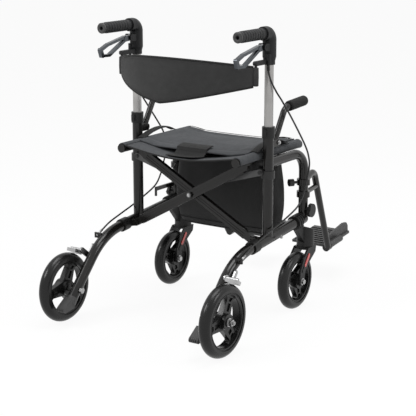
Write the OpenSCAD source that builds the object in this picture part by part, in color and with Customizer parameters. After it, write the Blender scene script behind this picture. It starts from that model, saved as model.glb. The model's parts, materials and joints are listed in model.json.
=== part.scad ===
// Rollator transport chair: two folding side frames on a cross brace, sling seat and footrests.
// Millimetres. X is to the sitter's right, Y is forward, Z is up from the floor.

/* [Overall] */
// Overall width, between the ends of the rear axle bolts
overall_w = 615; // [560:1:680]
// Overall height, to the top of the handles
overall_h = 845; // [820:1:900]
// Overall length, from the rear tyres to the footplate noses
overall_l = 1000; // [950:1:1060]

/* [Side frame] */
// Outside diameter of the rear post and leg
tube_d = 30; // [29:0.5:31]
// Outside diameter of the lower rail
rail_d = 32; // [31.5:0.5:34]
// Outside diameter of the bent front loop
loop_d = 28; // [24:0.5:30]
// Wall of the frame tubes
tube_wall = 2; // [1.5:0.1:2.2]
// Rear post position along Y
post_y = -102; // [-108:1:-98]
// Front post position along Y
front_y = 99; // [92:1:104]
// Height of the upper rail
upper_z = 466; // [458:1:470]
// Bend radius of the front loop
loop_r = 57; // [45:1:70]
// Rise of the lower rail towards the front, in degrees
rail_tilt = 5.1; // [3:0.1:7]
// Slope of the rear leg at the axle, in degrees
leg_slope = 47; // [42:0.5:52]
// Bend radius of the rear leg
leg_r = 200; // [150:5:230]

/* [Handles] */
// Diameter of the height-adjusting handle tube
handle_d = 25; // [22:0.5:25.5]
// Height of the top of the rear post clamp
clamp_z = 569; // [560:1:580]
// Height of the handle moulding
handle_h = 105; // [98:1:115]
// Diameter of the grip
grip_d = 30; // [26:0.5:34]
// Rear end of the grip along Y
grip_end_y = -263; // [-280:1:-250]

/* [Wheels] */
// Rear wheel diameter
rear_d = 200; // [190:1:206]
// Rear tyre width
rear_w = 34; // [28:1:36]
// Distance of the rear wheel out from the side frame
wheel_out = 45; // [42:0.5:50]
// Length of the axle past the middle of the rear wheel
axle_out = 37.5; // [35:0.5:42]
// Caster wheel diameter
caster_d = 170; // [160:1:174]
// Caster tyre width
caster_w = 32; // [26:1:33]
// Distance of the caster in from the side frame
caster_in = 4; // [1:0.5:7]
// Caster stem position along Y
stem_y = 124; // [120:1:130]
// Distance of the caster axle behind its stem
trail = 59; // [52:1:62]

/* [Cross brace and seat] */
// Distance of the brace pivots and seat rails in from the side frame
brace_in = 31; // [30:0.5:36]
// Height of the lower brace pivots
brace_low_z = 250; // [246:1:254]
// Height of the crossing pivot
brace_mid_z = 358; // [350:1:366]
// Width of a brace bar
bar_w = 26; // [20:1:28]
// Thickness of a brace bar along Y
bar_t = 14; // [10:1:14]
// Seat rail diameter
seat_d = 24; // [20:0.5:25]
// Height of the seat rail axis
seat_z = 482; // [478:1:486]
// Rear end of the seat rail along Y
seat_rear_y = -223; // [-235:1:-210]
// Front end of the seat rail along Y
seat_front_y = 122; // [110:1:130]

/* [Armrest] */
// Armrest tube diameter
arm_d = 18; // [14:0.5:20]
// Armrest foam diameter
foam_d = 30; // [24:0.5:32]
// Height of the armrest foam
foam_z = 612; // [600:1:625]

/* [Footrest] */
// Hanger tube diameter
hanger_d = 20; // [16:0.5:22]
// Footplate width
plate_w = 122; // [100:1:126]
// Footplate length
plate_l = 155; // [140:1:165]
// Nose-up tilt of the footplate, in degrees
plate_tilt = 6; // [0:0.5:8]

/* [Hidden] */
$fn = 64;
gap = 0.4;
// A straight is thinner than its bend or round end by this much, so that their faces cross cleanly
seam = 0.18;
rear_x = overall_w / 2 - axle_out;
frame_x = rear_x - wheel_out;
caster_x = frame_x - caster_in;
brace_x = frame_x - brace_in;
handle_base_z = overall_h - handle_h;
rail_rear = [post_y - 88, 242];
rail_front_y = front_y + 3;
rear_y = rear_d / 2 - overall_l / 2;
rear_z = rear_d / 2;
caster_y = stem_y - trail;
brace_angle = atan2(brace_mid_z - brace_low_z, brace_x);
brace_half = norm([brace_x, brace_mid_z - brace_low_z]);
layer_b = post_y - 31;
layer_a = layer_b - bar_t - 4;
link_pin = [frame_x - 13, seat_z - 40];
link_hold = 92;
link_t = 3;
// Depth of the handle moulding's socket on the tube
socket_h = 40;
link_y = post_y - tube_d / 2 - 4.6;
arm_pivot = [post_y + 32, clamp_z - 48];
lever_pivot = [post_y - 32, overall_h - 55];
brake_pin = [rear_y + 82, rear_z + 78];
foot_o = [frame_x - 45, overall_l / 2 - plate_l, 118];
hanger_run = [frame_x - foot_o[0] - 5.2, foot_o[1] - 13.4 - front_y];
hanger_turn = atan2(hanger_run[0], hanger_run[1]);
hanger_top = [90, 392];
hanger_foot = [norm(hanger_run), foot_o[2] + 4];
stay_z = 341;
stay_end = hanger_top + (hanger_foot - hanger_top) * (hanger_top[1] - stay_z) / (hanger_top[1] - hanger_foot[1]);
bag_z = upper_z - 244;
bag_y = 52;
// Cable hole in the handle moulding, out from the tube
cable_out = [9, -19];
// Arm and pin of the handle moulding that carry an end of the backrest
back_arm_z = handle_base_z + 9;
back_end_y = post_y - 70;
back_pin_d = 8;
back_pin_z = handle_base_z - 28;

// Helpers

function unit(v) = v / norm(v);
function turn(a, b, c) = let (u = unit(b - a), v = unit(c - b)) atan2(cross(u, v), u * v);
function trim(a, b, c, r) = r * tan(abs(turn(a, b, c)) / 2);
function stretch(p, e) = let (n = len(p)) [
  for (i = [0 : n - 1])
    i == 0 ? p[0] - unit(p[1] - p[0]) * e
    : i == n - 1 ? p[i] + unit(p[i] - p[i - 1]) * e
    : p[i]
];
function rail_z(y) = rail_rear[1] + (y - rail_rear[0]) * tan(rail_tilt);

// Places a flat drawing so that its x runs along Y and its y runs along Z
module side(x) {
  translate([x, 0, 0])
    rotate([90, 0, 90])
      children();
}

// Round bar along a flat line of points, with a bend at each inner point
// Straight lengths are thinner than the bends by the seam and reach a little way into them
module flat_bar(p, r, d) {
  n = len(p);
  into = 0.6;
  thin = n > 2 ? seam : 0;
  for (i = [0 : n - 2]) {
    u = unit(p[i + 1] - p[i]);
    s0 = i == 0 ? 0 : trim(p[i - 1], p[i], p[i + 1], r);
    s1 = i == n - 2 ? 0 : trim(p[i], p[i + 1], p[i + 2], r);
    e0 = i == 0 ? 0 : into;
    e1 = i == n - 2 ? 0 : into;
    a = p[i] + u * (s0 - e0);
    translate([a[0], a[1], 0])
      rotate([0, 0, atan2(u[1], u[0])])
        rotate([0, 90, 0])
          cylinder(h = norm(p[i + 1] - p[i]) - s0 - s1 + e0 + e1, d = d - thin);
  }
  if (n > 2)
    for (i = [1 : n - 2]) {
      u = unit(p[i] - p[i - 1]);
      k = turn(p[i - 1], p[i], p[i + 1]);
      a = p[i] - u * trim(p[i - 1], p[i], p[i + 1], r);
      c = a + [-u[1], u[0]] * (k > 0 ? r : -r);
      start = atan2(a[1] - c[1], a[0] - c[0]);
      translate([c[0], c[1], 0])
        rotate([0, 0, k > 0 ? start : start + k])
          rotate_extrude(angle = abs(k))
            translate([r, 0])
              circle(d = d);
    }
}

module flat_tube(p, r, d, wall) {
  difference() {
    flat_bar(p, r, d);
    flat_bar(stretch(p, 1), r, d - 2 * wall);
  }
}

// Flat bar with round ends from a to b
module slot2d(a, b, w) {
  v = b - a;
  translate(a)
    circle(d = w);
  translate(b)
    circle(d = w);
  translate(a)
    rotate(atan2(v[1], v[0]))
      translate([0, seam / 2 - w / 2])
        square([norm(v), w - seam]);
}

// Closed sheet between two grids of points, rows of nu
module sheet(top, low, nu, nv) {
  m = nu * nv;
  faces_top = [
    for (j = [0 : nv - 2], i = [0 : nu - 2])
      [j * nu + i, (j + 1) * nu + i, (j + 1) * nu + i + 1, j * nu + i + 1]
  ];
  faces_low = [
    for (j = [0 : nv - 2], i = [0 : nu - 2])
      [m + j * nu + i, m + j * nu + i + 1, m + (j + 1) * nu + i + 1, m + (j + 1) * nu + i]
  ];
  side_a = [for (i = [0 : nu - 2]) [i, i + 1, m + i + 1, m + i]];
  side_b = [
    for (i = [0 : nu - 2])
      let (k = (nv - 1) * nu + i) [k + 1, k, m + k, m + k + 1]
  ];
  side_c = [for (j = [0 : nv - 2]) [(j + 1) * nu, j * nu, m + j * nu, m + (j + 1) * nu]];
  side_d = [
    for (j = [0 : nv - 2])
      let (k = j * nu + nu - 1) [k, k + nu, m + k + nu, m + k]
  ];
  polyhedron(
    points = concat(top, low),
    faces = concat(faces_top, faces_low, side_a, side_b, side_c, side_d),
    convexity = 8
  );
}

// Tube of ns sides swept along points
module swept(p, d, ns) {
  n = len(p);
  t = [for (i = [0 : n - 1]) unit(p[min(i + 1, n - 1)] - p[max(i - 1, 0)])];
  ring = [
    for (i = [0 : n - 1], k = [0 : ns - 1])
      let (
        e = unit(cross(t[i], [0.3, 0.2, 0.93])),
        f = cross(t[i], e),
        a = 360 * k / ns
      ) p[i] + (e * cos(a) + f * sin(a)) * d / 2
  ];
  walls = [
    for (i = [0 : n - 2], k = [0 : ns - 1])
      [i * ns + k, (i + 1) * ns + k, (i + 1) * ns + (k + 1) % ns, i * ns + (k + 1) % ns]
  ];
  cap_a = [[for (k = [0 : ns - 1]) k]];
  cap_b = [[for (k = [0 : ns - 1]) n * ns - 1 - k]];
  polyhedron(points = ring, faces = concat(walls, cap_a, cap_b), convexity = 6);
}

// Smooth curve through points, m steps to each span
function curve_at(a, b, c, d, t) =
  0.5 * (2 * b + (c - a) * t + (2 * a - 5 * b + 4 * c - d) * t * t + (3 * b - a - 3 * c + d) * t * t * t);
function curve(p, m) = let (n = len(p)) [
  for (i = [0 : n - 2], k = [0 : (i == n - 2 ? m : m - 1)])
    curve_at(p[max(i - 1, 0)], p[i], p[i + 1], p[min(i + 2, n - 1)], k / m)
];

// Frame

function leg_corner() =
  let (
    t = (rail_z(rear_y) - rear_z) / (sin(leg_slope) - cos(leg_slope) * tan(rail_tilt))
  ) [rear_y + t * cos(leg_slope), rear_z + t * sin(leg_slope)];
leg_dir = [cos(leg_slope), sin(leg_slope)];
leg_end = [rear_y, rear_z] - leg_dir * 26;
leg_path = [rail_rear, leg_corner(), leg_end];
leg_half = tan((leg_slope - rail_tilt) / 2);
// The bend is no larger than the straight above it has room for
leg_bend = min(leg_r, (norm(leg_corner() - rail_rear) - 2) / leg_half);
leg_straight = norm(leg_corner() - [rear_y, rear_z]) - leg_bend * leg_half;
// Middle line of the leg, at a distance up from the axle
function leg_at(s) =
  let (
    a = max(s - leg_straight, 0) / leg_bend * 180 / PI,
    start = [rear_y, rear_z] + leg_dir * min(s, leg_straight),
    c = start + [sin(leg_slope), -cos(leg_slope)] * leg_bend
  ) c + [-sin(leg_slope - a), cos(leg_slope - a)] * leg_bend;
cable_stop = leg_at(172);
// The collar at the leg's joint ends short of the rearmost brace lug
collar_l = (layer_a - bar_t / 2 - gap - 3 - rail_rear[0] - 1) / cos(rail_tilt);

module rear_post() {
  color("dimgray") {
    difference() {
      union() {
        translate([frame_x, post_y, rail_z(post_y)])
          cylinder(h = clamp_z - 20 - rail_z(post_y), d = tube_d);
        for (s = [-1, 1])
          side(frame_x + s * (arm_d / 2 + gap + 2) - 2)
            linear_extrude(4) {
              translate(arm_pivot)
                circle(d = 20);
              translate([post_y, arm_pivot[1] - 10])
                square([arm_pivot[0] - post_y, 20]);
            }
        side(frame_x - arm_d / 2 - 6)
          translate([arm_pivot[0], arm_pivot[1], 0])
            cylinder(h = arm_d + 12, d = 6);
      }
      translate([frame_x, post_y, 0])
        cylinder(h = overall_h, d = handle_d + 2 * gap - 0.2);
      side(frame_x)
        flat_bar([rail_rear, [rail_front_y, rail_z(rail_front_y)]], 1, rail_d);
    }
  }
}

module side_loop() {
  path = [[post_y, upper_z], [front_y, upper_z], [front_y, rail_z(front_y)]];
  color("dimgray")
    difference() {
      side(frame_x)
        flat_tube(path, loop_r, loop_d, tube_wall);
      translate([frame_x, post_y, 0])
        cylinder(h = overall_h, d = tube_d);
      side(frame_x)
        flat_bar([rail_rear, [rail_front_y + 20, rail_z(rail_front_y + 20)]], 1, rail_d);
    }
}

// Lower rail with the lug and pin of a brace bar at layer y
module lower_rail(y) {
  low = [brace_x, brace_low_z];
  path = [rail_rear, [rail_front_y, rail_z(rail_front_y)]];
  color("dimgray")
    difference() {
      union() {
        side(frame_x)
          flat_bar(path, 1, rail_d);
        for (s = [-1, 1])
          translate([0, y + s * (bar_t / 2 + gap + 1.5) + 1.5, 0])
            rotate([90, 0, 0])
              linear_extrude(3)
                slot2d(low, [frame_x - 6, rail_z(y)], 20);
        translate([brace_x, y + bar_t / 2 + 6, brace_low_z])
          rotate([90, 0, 0])
            cylinder(h = bar_t + 12, d = 8);
      }
      side(frame_x)
        flat_bar(stretch(path, 1), 1, rail_d - 2 * tube_wall);
    }
}

module rear_leg() {
  along = [cos(rail_tilt), sin(rail_tilt)];
  color("dimgray")
    difference() {
      union() {
        side(frame_x)
          flat_bar(leg_path, leg_bend, tube_d);
        side(frame_x)
          flat_bar([rail_rear - along * 4, rail_rear + along * 36], 1, rail_d - 2 * tube_wall - 0.1);
        // brake arm pin and cable stop
        side(frame_x + 8)
          translate([brake_pin[0], brake_pin[1], 0])
            cylinder(h = 20, d = 8);
        side(frame_x + 8)
          translate([brake_pin[0], brake_pin[1], 0])
            cylinder(h = 9, d = 18);
        translate([frame_x + 4, cable_stop[0] - 3.2, cable_stop[1] + 4])
          cube([24, 5, 16]);
        translate([frame_x - 2, cable_stop[0] - 5.2, cable_stop[1] - 4])
          cube([16, 9, 16]);
      }
      side(frame_x)
        flat_bar([rail_rear - along * 7, leg_corner(), leg_end - leg_dir], leg_bend, tube_d - 2 * tube_wall);
      side(frame_x)
        flat_bar([rail_rear - along * 8, rail_rear + along * 38], 1, rail_d - 2 * tube_wall - 5);
      side(frame_x - 40)
        translate([rear_y, rear_z, 0])
          cylinder(h = 80, d = 10);
      translate([frame_x + 21, cable_stop[0] - 14, cable_stop[1] + 12])
        rotate([-90, 0, 0])
          cylinder(h = 20, d = 6.6);
    }
}

// Moulded clamps: top of the post, joint of the leg, half-moon knob on the front post
module clamps() {
  along = [cos(rail_tilt), sin(rail_tilt)];
  color("#222222") {
    difference() {
      union() {
        translate([frame_x, post_y, clamp_z - 31])
          cylinder(h = 31, d = tube_d + 6);
        translate([frame_x - 5, post_y - 24, clamp_z - 24])
          cube([10, 10, 18]);
      }
      translate([frame_x, post_y, clamp_z - 40])
        cylinder(h = 20, d = tube_d);
      translate([frame_x, post_y, clamp_z - 40])
        cylinder(h = 60, d = handle_d + 2 * gap);
    }
    difference() {
      side(frame_x)
        flat_bar([rail_rear, rail_rear + along * collar_l], 1, rail_d + 6);
      side(frame_x)
        flat_bar([rail_rear - along * 2, rail_rear + along * (collar_l + 2)], 1, rail_d);
    }
    difference() {
      union() {
        side(frame_x + 8)
          translate([front_y, 296, 0])
            cylinder(h = 14, d = 14);
        side(frame_x + 22)
          linear_extrude(9)
            difference() {
              translate([front_y + 2, 294])
                circle(d = 40);
              translate([front_y - 32, 308])
                circle(d = 46);
            }
        side(frame_x + 22)
          translate([front_y, 296, 0])
            cylinder(h = 9, d = 18);
      }
      translate([frame_x, front_y, 200])
        cylinder(h = 200, d = loop_d);
    }
  }
}

// Bracket on the post: seat rail cradle and the link pin
module fold_bracket() {
  color("#3a3a3c")
    difference() {
      union() {
        translate([frame_x, post_y, seat_z - 58])
          cylinder(h = 22, d = tube_d + 8);
        translate([brace_x - 13, post_y - 13, seat_z - 30])
          cube([20, 30, 21]);
        translate([brace_x - 3, post_y - 13, seat_z - 54])
          cube([22, 30, 25]);
        translate([link_pin[0], link_y + 1, link_pin[1]])
          rotate([90, 0, 0])
            cylinder(h = link_t + 3, d = 6);
        translate([link_pin[0], post_y - 10, link_pin[1]])
          rotate([90, 0, 0])
            cylinder(h = post_y - 10 - link_y - gap, d = 16);
        translate([link_pin[0], link_y - link_t - gap, link_pin[1]])
          rotate([90, 0, 0])
            cylinder(h = 3, d = 12, $fn = 6);
      }
      translate([frame_x, post_y, seat_z - 82])
        cylinder(h = 100, d = tube_d);
      translate([brace_x, post_y - 40, seat_z])
        rotate([-90, 0, 0])
          cylinder(h = 80, d = seat_d + 2 * gap);
    }
}

// Stem housing of the caster, hung from the front of the lower rail
module caster_head() {
  along = [cos(rail_tilt), sin(rail_tilt)];
  color("#2b2b2d")
    difference() {
      union() {
        translate([caster_x, stem_y, 180])
          cylinder(h = 66, d = 52);
        side(frame_x)
          flat_bar([[44, rail_z(44)], [86, rail_z(86)]], 1, rail_d + 7);
        for (k = [0 : 3])
          side(frame_x)
            flat_bar([[46 + 10 * k, rail_z(46 + 10 * k)], [51 + 10 * k, rail_z(51 + 10 * k)]], 1, rail_d + 11);
        side(frame_x - 9)
          linear_extrude(15)
            polygon([[48, 252], [86, 254], [118, 240], [118, 188], [104, 188]]);
        side(frame_x)
          flat_bar([[86, rail_z(86)], [rail_front_y + 6, rail_z(rail_front_y + 6)]], 1, rail_d + 4);
      }
      side(frame_x)
        flat_bar([rail_rear, [rail_front_y, rail_z(rail_front_y)]], 1, rail_d);
      translate([frame_x, front_y, 262])
        cylinder(h = 100, d = loop_d);
      // slanted top with a shallow dish
      translate([caster_x, stem_y, 232])
        rotate([-24, 0, 0]) {
          translate([0, 0, 40])
            cube([80, 120, 80], center = true);
          translate([0, -1, -3])
            cylinder(h = 20, d = 43);
        }
      translate([caster_x, stem_y, 170])
        cylinder(h = 48, d = 17);
      translate([frame_x - 40, stem_y + 5, 258])
        cube([80, 40, 60]);
    }
}

module kerb_pedal() {
  tip = leg_end - leg_dir * 20;
  color("#77787a")
    difference() {
      union() {
        side(frame_x)
          flat_bar([leg_end + leg_dir * 16, tip], 1, tube_d - 2 * tube_wall - 2 * gap);
        side(frame_x)
          flat_bar([leg_end, tip], 1, tube_d + 2);
        side(frame_x - 14)
          linear_extrude(28) {
            polygon([tip + [14, 2], tip + [-3, 20], tip + [-36, -2], tip + [-33, -17], tip + [4, -12]]);
            translate(tip + [-33.5, -9.5])
              circle(r = 7.6);
          }
      }
      for (k = [0 : 3])
        translate([frame_x - 10.5 + k * 6, tip[0] - 50, tip[1] - 40])
          cube([3, 12, 60]);
    }
}

module rear_axle() {
  color("#b8bcc0")
    side(0)
      translate([rear_y, rear_z, 0]) {
        difference() {
          translate([0, 0, frame_x - 22])
            cylinder(h = overall_w / 2 - frame_x + 22, d = 10);
          translate([0, 0, overall_w / 2 - 1])
            cylinder(h = 2, d = 5);
        }
        translate([0, 0, frame_x - 23])
          cylinder(h = 7, d = 18, $fn = 6);
        difference() {
          translate([0, 0, frame_x + 16])
            cylinder(h = rear_x - 20 - frame_x - 16, d = 18);
          translate([0, 0, frame_x + 10])
            cylinder(h = 40, d = 10);
        }
        difference() {
          translate([0, 0, rear_x + 20])
            cylinder(h = 2, d = 24);
          translate([0, 0, rear_x + 10])
            cylinder(h = 40, d = 10);
        }
        difference() {
          translate([0, 0, rear_x + 22])
            cylinder(h = 10, d = 19, $fn = 6);
          translate([0, 0, rear_x + 10])
            cylinder(h = 40, d = 10);
        }
      }
}

module brake_cable() {
  exit = [cable_out[0], post_y + cable_out[1], handle_base_z];
  stop = [21, cable_stop[0] + 2.3, cable_stop[1] + 12.6];
  route = [
    exit + [0, 0, 6], exit + [0.6, -1, -14], [15, -117, 698], [22, -98, 665], [25, -72, 637], [27, -17, 578],
    [27, 56, 495], [28, 78, 455], [28, 81, 425], [28, 66, 386], [28, 50, 352], [27, 20, 322],
    [25, -42, 300], [23, -102, 284], [22, -160, 270], [21, -215, 256], stop + [0, 21.5, 9.5],
    stop
  ];
  color("#151515")
    translate([frame_x, 0, 0])
      swept(curve(route, 4), 5, 8);
}

// Cross brace

module cross_bar(a, y, boss) {
  rail = [brace_x, seat_z - brace_mid_z];
  color("#333336")
    translate([0, y, brace_mid_z])
      rotate([90, 0, 0])
        difference() {
          union() {
            translate([0, 0, -bar_t / 2])
              linear_extrude(bar_t)
                rotate(a)
                  difference() {
                    slot2d([-brace_half, 0], [brace_half - 14, 0], bar_w - 4);
                    children();
                  }
            for (s = [-1, 1])
              translate([0, 0, s * (bar_t / 2 - 2.5) - 2.5])
                linear_extrude(5)
                  rotate(a) {
                    translate([-brace_half + 22, bar_w / 2 - 7])
                      square([2 * brace_half - 46, 7]);
                    translate([-brace_half + 22, -bar_w / 2])
                      square([2 * brace_half - 46, 7]);
                  }
            rotate([0, 0, a])
              translate([link_hold, 0, -bar_t / 2 - boss])
                cylinder(h = boss + 1, d = 14);
            translate([rail[0], rail[1], -14])
              cylinder(h = 28, d = seat_d + 9);
            translate([0, 0, -bar_t / 2])
              linear_extrude(bar_t)
                slot2d(rail - [18, 12], rail - [2, 2], 24);
          }
          rotate([0, 0, a])
            for (s = [-1, 1], n = [-3.5, 3.5])
              translate([-brace_half + 26, n - 1.5, s * bar_t / 2 - 1.2])
                cube([2 * brace_half - 60, 3, 2.4]);
          cylinder(h = 60, d = 10.6, center = true);
          rotate([0, 0, a])
            translate([-brace_half, 0, 0])
              cylinder(h = 60, d = 8 + 2 * gap, center = true);
          translate([rail[0], rail[1], 0])
            cylinder(h = 60, d = seat_d, center = true);
          translate([rail[0] - 30, rail[1] - 6.5, -30])
            cube([60, 30, 60]);
        }
}

module cross_bar_a() {
  cross_bar(brace_angle, layer_a, link_y - link_t - 2 * gap - layer_a - bar_t / 2);
}

module cross_bar_b() {
  mirror([1, 0, 0])
    cross_bar(brace_angle, layer_b, link_y - link_t - 2 * gap - layer_b - bar_t / 2);
}

module seat_rail() {
  color("#2a2a2c") {
    difference() {
      translate([brace_x, seat_rear_y + 4, seat_z])
        rotate([-90, 0, 0])
          cylinder(h = seat_front_y - seat_rear_y - 8, d = seat_d);
      translate([brace_x, seat_rear_y, seat_z])
        rotate([-90, 0, 0])
          cylinder(h = seat_front_y - seat_rear_y, d = seat_d - 2 * tube_wall);
    }
    for (s = [0, 1])
      translate([brace_x, s == 0 ? seat_rear_y : seat_front_y, seat_z])
        rotate([s == 0 ? -90 : 90, 0, 0]) {
          cylinder(h = 4, d = seat_d + 1);
          cylinder(h = 16, d = seat_d - 2 * tube_wall);
        }
  }
}

module cross_pivot_bolt() {
  color("#b8bcc0")
    translate([0, 0, brace_mid_z])
      rotate([90, 0, 0]) {
        translate([0, 0, -layer_b - bar_t / 2 - 1])
          cylinder(h = layer_b - layer_a + bar_t + 2, d = 10);
        translate([0, 0, -layer_a + bar_t / 2 + 0.1])
          cylinder(h = 6, d = 16);
        translate([0, 0, -layer_b - bar_t / 2 - 7.4])
          cylinder(h = 7, d = 18, $fn = 6);
        difference() {
          translate([0, 0, -layer_a - bar_t / 2 - 3.6])
            cylinder(h = 3.2, d = 24);
          translate([0, 0, -layer_a - bar_t / 2 - 5])
            cylinder(h = 6, d = 10);
        }
      }
}

module link() {
  far = [-link_hold * cos(brace_angle), brace_mid_z + link_hold * sin(brace_angle)];
  near = [-link_pin[0], link_pin[1]];
  v = unit(far - near);
  span = norm(far - near);
  color("#8d9094")
    translate([0, link_y, 0])
      rotate([90, 0, 0])
        mirror([1, 0, 0])
          linear_extrude(link_t)
            difference() {
              slot2d(near, near + v * (span + 4.6), 18);
              translate(near)
                circle(d = 6 + 2 * gap);
              slot2d(near + v * (span - 25.4), near + v * (span + 2.6), 9);
            }
}

// Handles and brakes

module handle_tube() {
  low = clamp_z - 239;
  color("#c8c6be")
    difference() {
      translate([frame_x, post_y, low])
        cylinder(h = handle_base_z + socket_h - low, d = handle_d);
      translate([frame_x, post_y, low - 10])
        cylinder(h = handle_base_z + socket_h - low + 20, d = handle_d - 4);
      for (k = [0 : 4])
        translate([frame_x, post_y, clamp_z + 31 + 24 * k])
          rotate([-90, 0, 0])
            cylinder(h = 30, d = 7);
    }
}

module handle() {
  top = overall_h - 19;
  color("#4a4c50") {
    difference() {
      union() {
        translate([frame_x, post_y, handle_base_z])
          cylinder(h = 14, d = 32);
        translate([frame_x, post_y, handle_base_z + 12])
          cylinder(h = 8, d1 = 33, d2 = 37);
        side(frame_x)
          flat_bar([[post_y, handle_base_z + 20], [post_y, top], [post_y - 36, top]], 21, 38);
        side(frame_x)
          flat_bar([[post_y - 36, top], [grip_end_y + 6, top]], 1, grip_d);
        translate([frame_x, grip_end_y + 6, top])
          rotate([90, 0, 0])
            cylinder(h = 6, d = grip_d - 2);
        for (k = [0 : 7])
          translate([frame_x, post_y - 52 - 12 * k, top])
            rotate([90, 0, 0])
              cylinder(h = 6, d = grip_d + 1.6);
        // arm and pin for the backrest
        side(frame_x - 6)
          linear_extrude(12)
            slot2d([post_y - 10, back_arm_z], [back_end_y, back_arm_z], 12);
        translate([frame_x, back_end_y, back_pin_z])
          cylinder(h = back_arm_z - back_pin_z, d = back_pin_d);
        // lever fork and cable exit
        for (s = [-1, 1])
          side(frame_x + s * 9.5 - 2)
            linear_extrude(4)
              slot2d([post_y - 12, lever_pivot[1] - 2], lever_pivot, 20);
        translate([frame_x + cable_out[0], post_y + cable_out[1] + 2, handle_base_z + 1])
          cylinder(h = 30, d = 13);
        side(frame_x - 12)
          translate([lever_pivot[0], lever_pivot[1], 0])
            cylinder(h = 24, d = 6);
      }
      translate([frame_x, post_y, handle_base_z - 1])
        cylinder(h = socket_h + 1, d = handle_d);
      translate([frame_x, grip_end_y - 1, top])
        rotate([-90, 0, 0])
          cylinder(h = 8, d = 9);
      translate([frame_x + cable_out[0], post_y + cable_out[1], handle_base_z])
        cylinder(h = 9, d = 6.4);
    }
  }
}

// Loop lever below the grip
module brake_lever() {
  loop = [[-26, 3], [-105, -12], [-136, -24], [-130, -41], [-99, -42], [-28, -7]];
  color("#b4bac4")
    difference() {
      union() {
        side(frame_x - 5.5)
          linear_extrude(11) {
            for (k = [0 : 5])
              slot2d(lever_pivot + loop[k], lever_pivot + loop[(k + 1) % 6], k == 2 ? 11 : 8);
          }
        side(frame_x - 6.5)
          linear_extrude(13)
            slot2d(lever_pivot, lever_pivot - [24, 2], 16);
      }
      side(frame_x - 20)
        translate([lever_pivot[0], lever_pivot[1], 0])
          cylinder(h = 40, d = 6 + 2 * gap);
    }
}

module brake_arm() {
  pin = brake_pin;
  shoe_a = 62.3;
  bar = [rear_y, rear_z] + [cos(shoe_a), sin(shoe_a)] * (rear_d / 2 + 14);
  color("#a9adb2")
    difference() {
      union() {
        side(frame_x + 18)
          linear_extrude(5) {
            slot2d(pin, bar, 16);
            slot2d(pin, pin + [21, 25], 12);
          }
        side(frame_x + 18)
          translate([bar[0], bar[1], 0])
            cylinder(h = wheel_out + rear_w / 2 - 20, d = 9);
        side(rear_x - rear_w / 2 + 2)
          translate([rear_y, rear_z, 0])
            rotate([0, 0, shoe_a - 9])
              rotate_extrude(angle = 18)
                translate([rear_d / 2 + 3.4, 0])
                  square([10, rear_w - 4]);
      }
      side(frame_x)
        translate([pin[0], pin[1], 0])
          cylinder(h = 60, d = 8 + 2 * gap);
    }
}

// Wheels, drawn about the axle along X at the origin

module tyre(d, w) {
  rotate([0, 90, 0])
    rotate_extrude()
      difference() {
        union() {
          translate([d / 2 - w * 0.5, 0])
            circle(d = w);
          translate([d / 2 - w * 0.62, -w / 2])
            square([w * 0.2, w]);
        }
        translate([0, -w])
          square([d / 2 - w * 0.62, 2 * w]);
        for (s = [-1, 1])
          translate([d / 2 - 0.2, s * w * 0.16])
            circle(d = 1.6);
      }
}

// Window between two spokes: a sector with round corners, its middle on the x axis
module rim_window(near, far, corner, half) {
  point = [near + corner, 0];
  ends = [for (s = [-1, 1]) (far - corner) * [cos(half), s * sin(half)]];
  intersection() {
    circle(r = far);
    polygon([point, point + 3 * (ends[0] - point), point + 3 * (ends[1] - point)]);
  }
  for (e = ends)
    slot2d(point, e, 2 * corner);
}

module rim(d, w, hub, bore) {
  r = d / 2 - w * 0.62;
  ring = 7;
  hub_d = 44;
  rotate([0, 90, 0])
    difference() {
      union() {
        rotate_extrude()
          difference() {
            translate([r - ring, -w / 2 + 2])
              square([ring, w - 4]);
            for (s = [-1, 1])
              translate([r - ring / 2, s * (w / 2 - 2)])
                circle(d = 3);
          }
        cylinder(h = hub, d = hub_d, center = true);
        cylinder(h = 16, r = r - ring + 1, center = true);
      }
      cylinder(h = hub + 2, d = bore, center = true);
      for (s = [-1, 1])
        translate([0, 0, s * hub / 2])
          cylinder(h = 3, d = 30, center = true);
      for (k = [0 : 2])
        rotate([0, 0, 120 * k + 60])
          translate([0, 0, -hub / 2 - 1])
            linear_extrude(hub + 2)
              rim_window(hub_d / 2 + 3, r - ring - 1.2, 0.12 * r, 37);
      // sunk faces of the spokes
      for (k = [0 : 2], s = [-1, 1])
        rotate([0, 0, 120 * k])
          translate([0, 0, s * 8 - 4])
            linear_extrude(8) {
              polygon([
                [0.34 * r, -0.07 * r], [0.62 * r, -0.1 * r], [0.62 * r, 0.1 * r], [0.34 * r, 0.07 * r]
              ]);
              polygon([[0.68 * r, -0.06 * r], [0.82 * r, -0.15 * r], [0.82 * r, 0.15 * r], [0.68 * r, 0.06 * r]]);
            }
    }
}

module rear_tyre() {
  color("#1b1b1c")
    translate([rear_x, rear_y, rear_z])
      tyre(rear_d, rear_w);
}

module rear_rim() {
  color("#2c2c2e")
    translate([rear_x, rear_y, rear_z])
      rotate([35, 0, 0])
        rim(rear_d, rear_w, 38, 10.6);
}

module caster_tyre() {
  color("#1b1b1c")
    translate([caster_x, caster_y, caster_d / 2])
      tyre(caster_d, caster_w);
}

module caster_rim() {
  color("#2c2c2e")
    translate([caster_x, caster_y, caster_d / 2])
      rotate([14, 0, 0])
        rim(caster_d, caster_w, caster_w + 4, 8.6);
}

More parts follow.
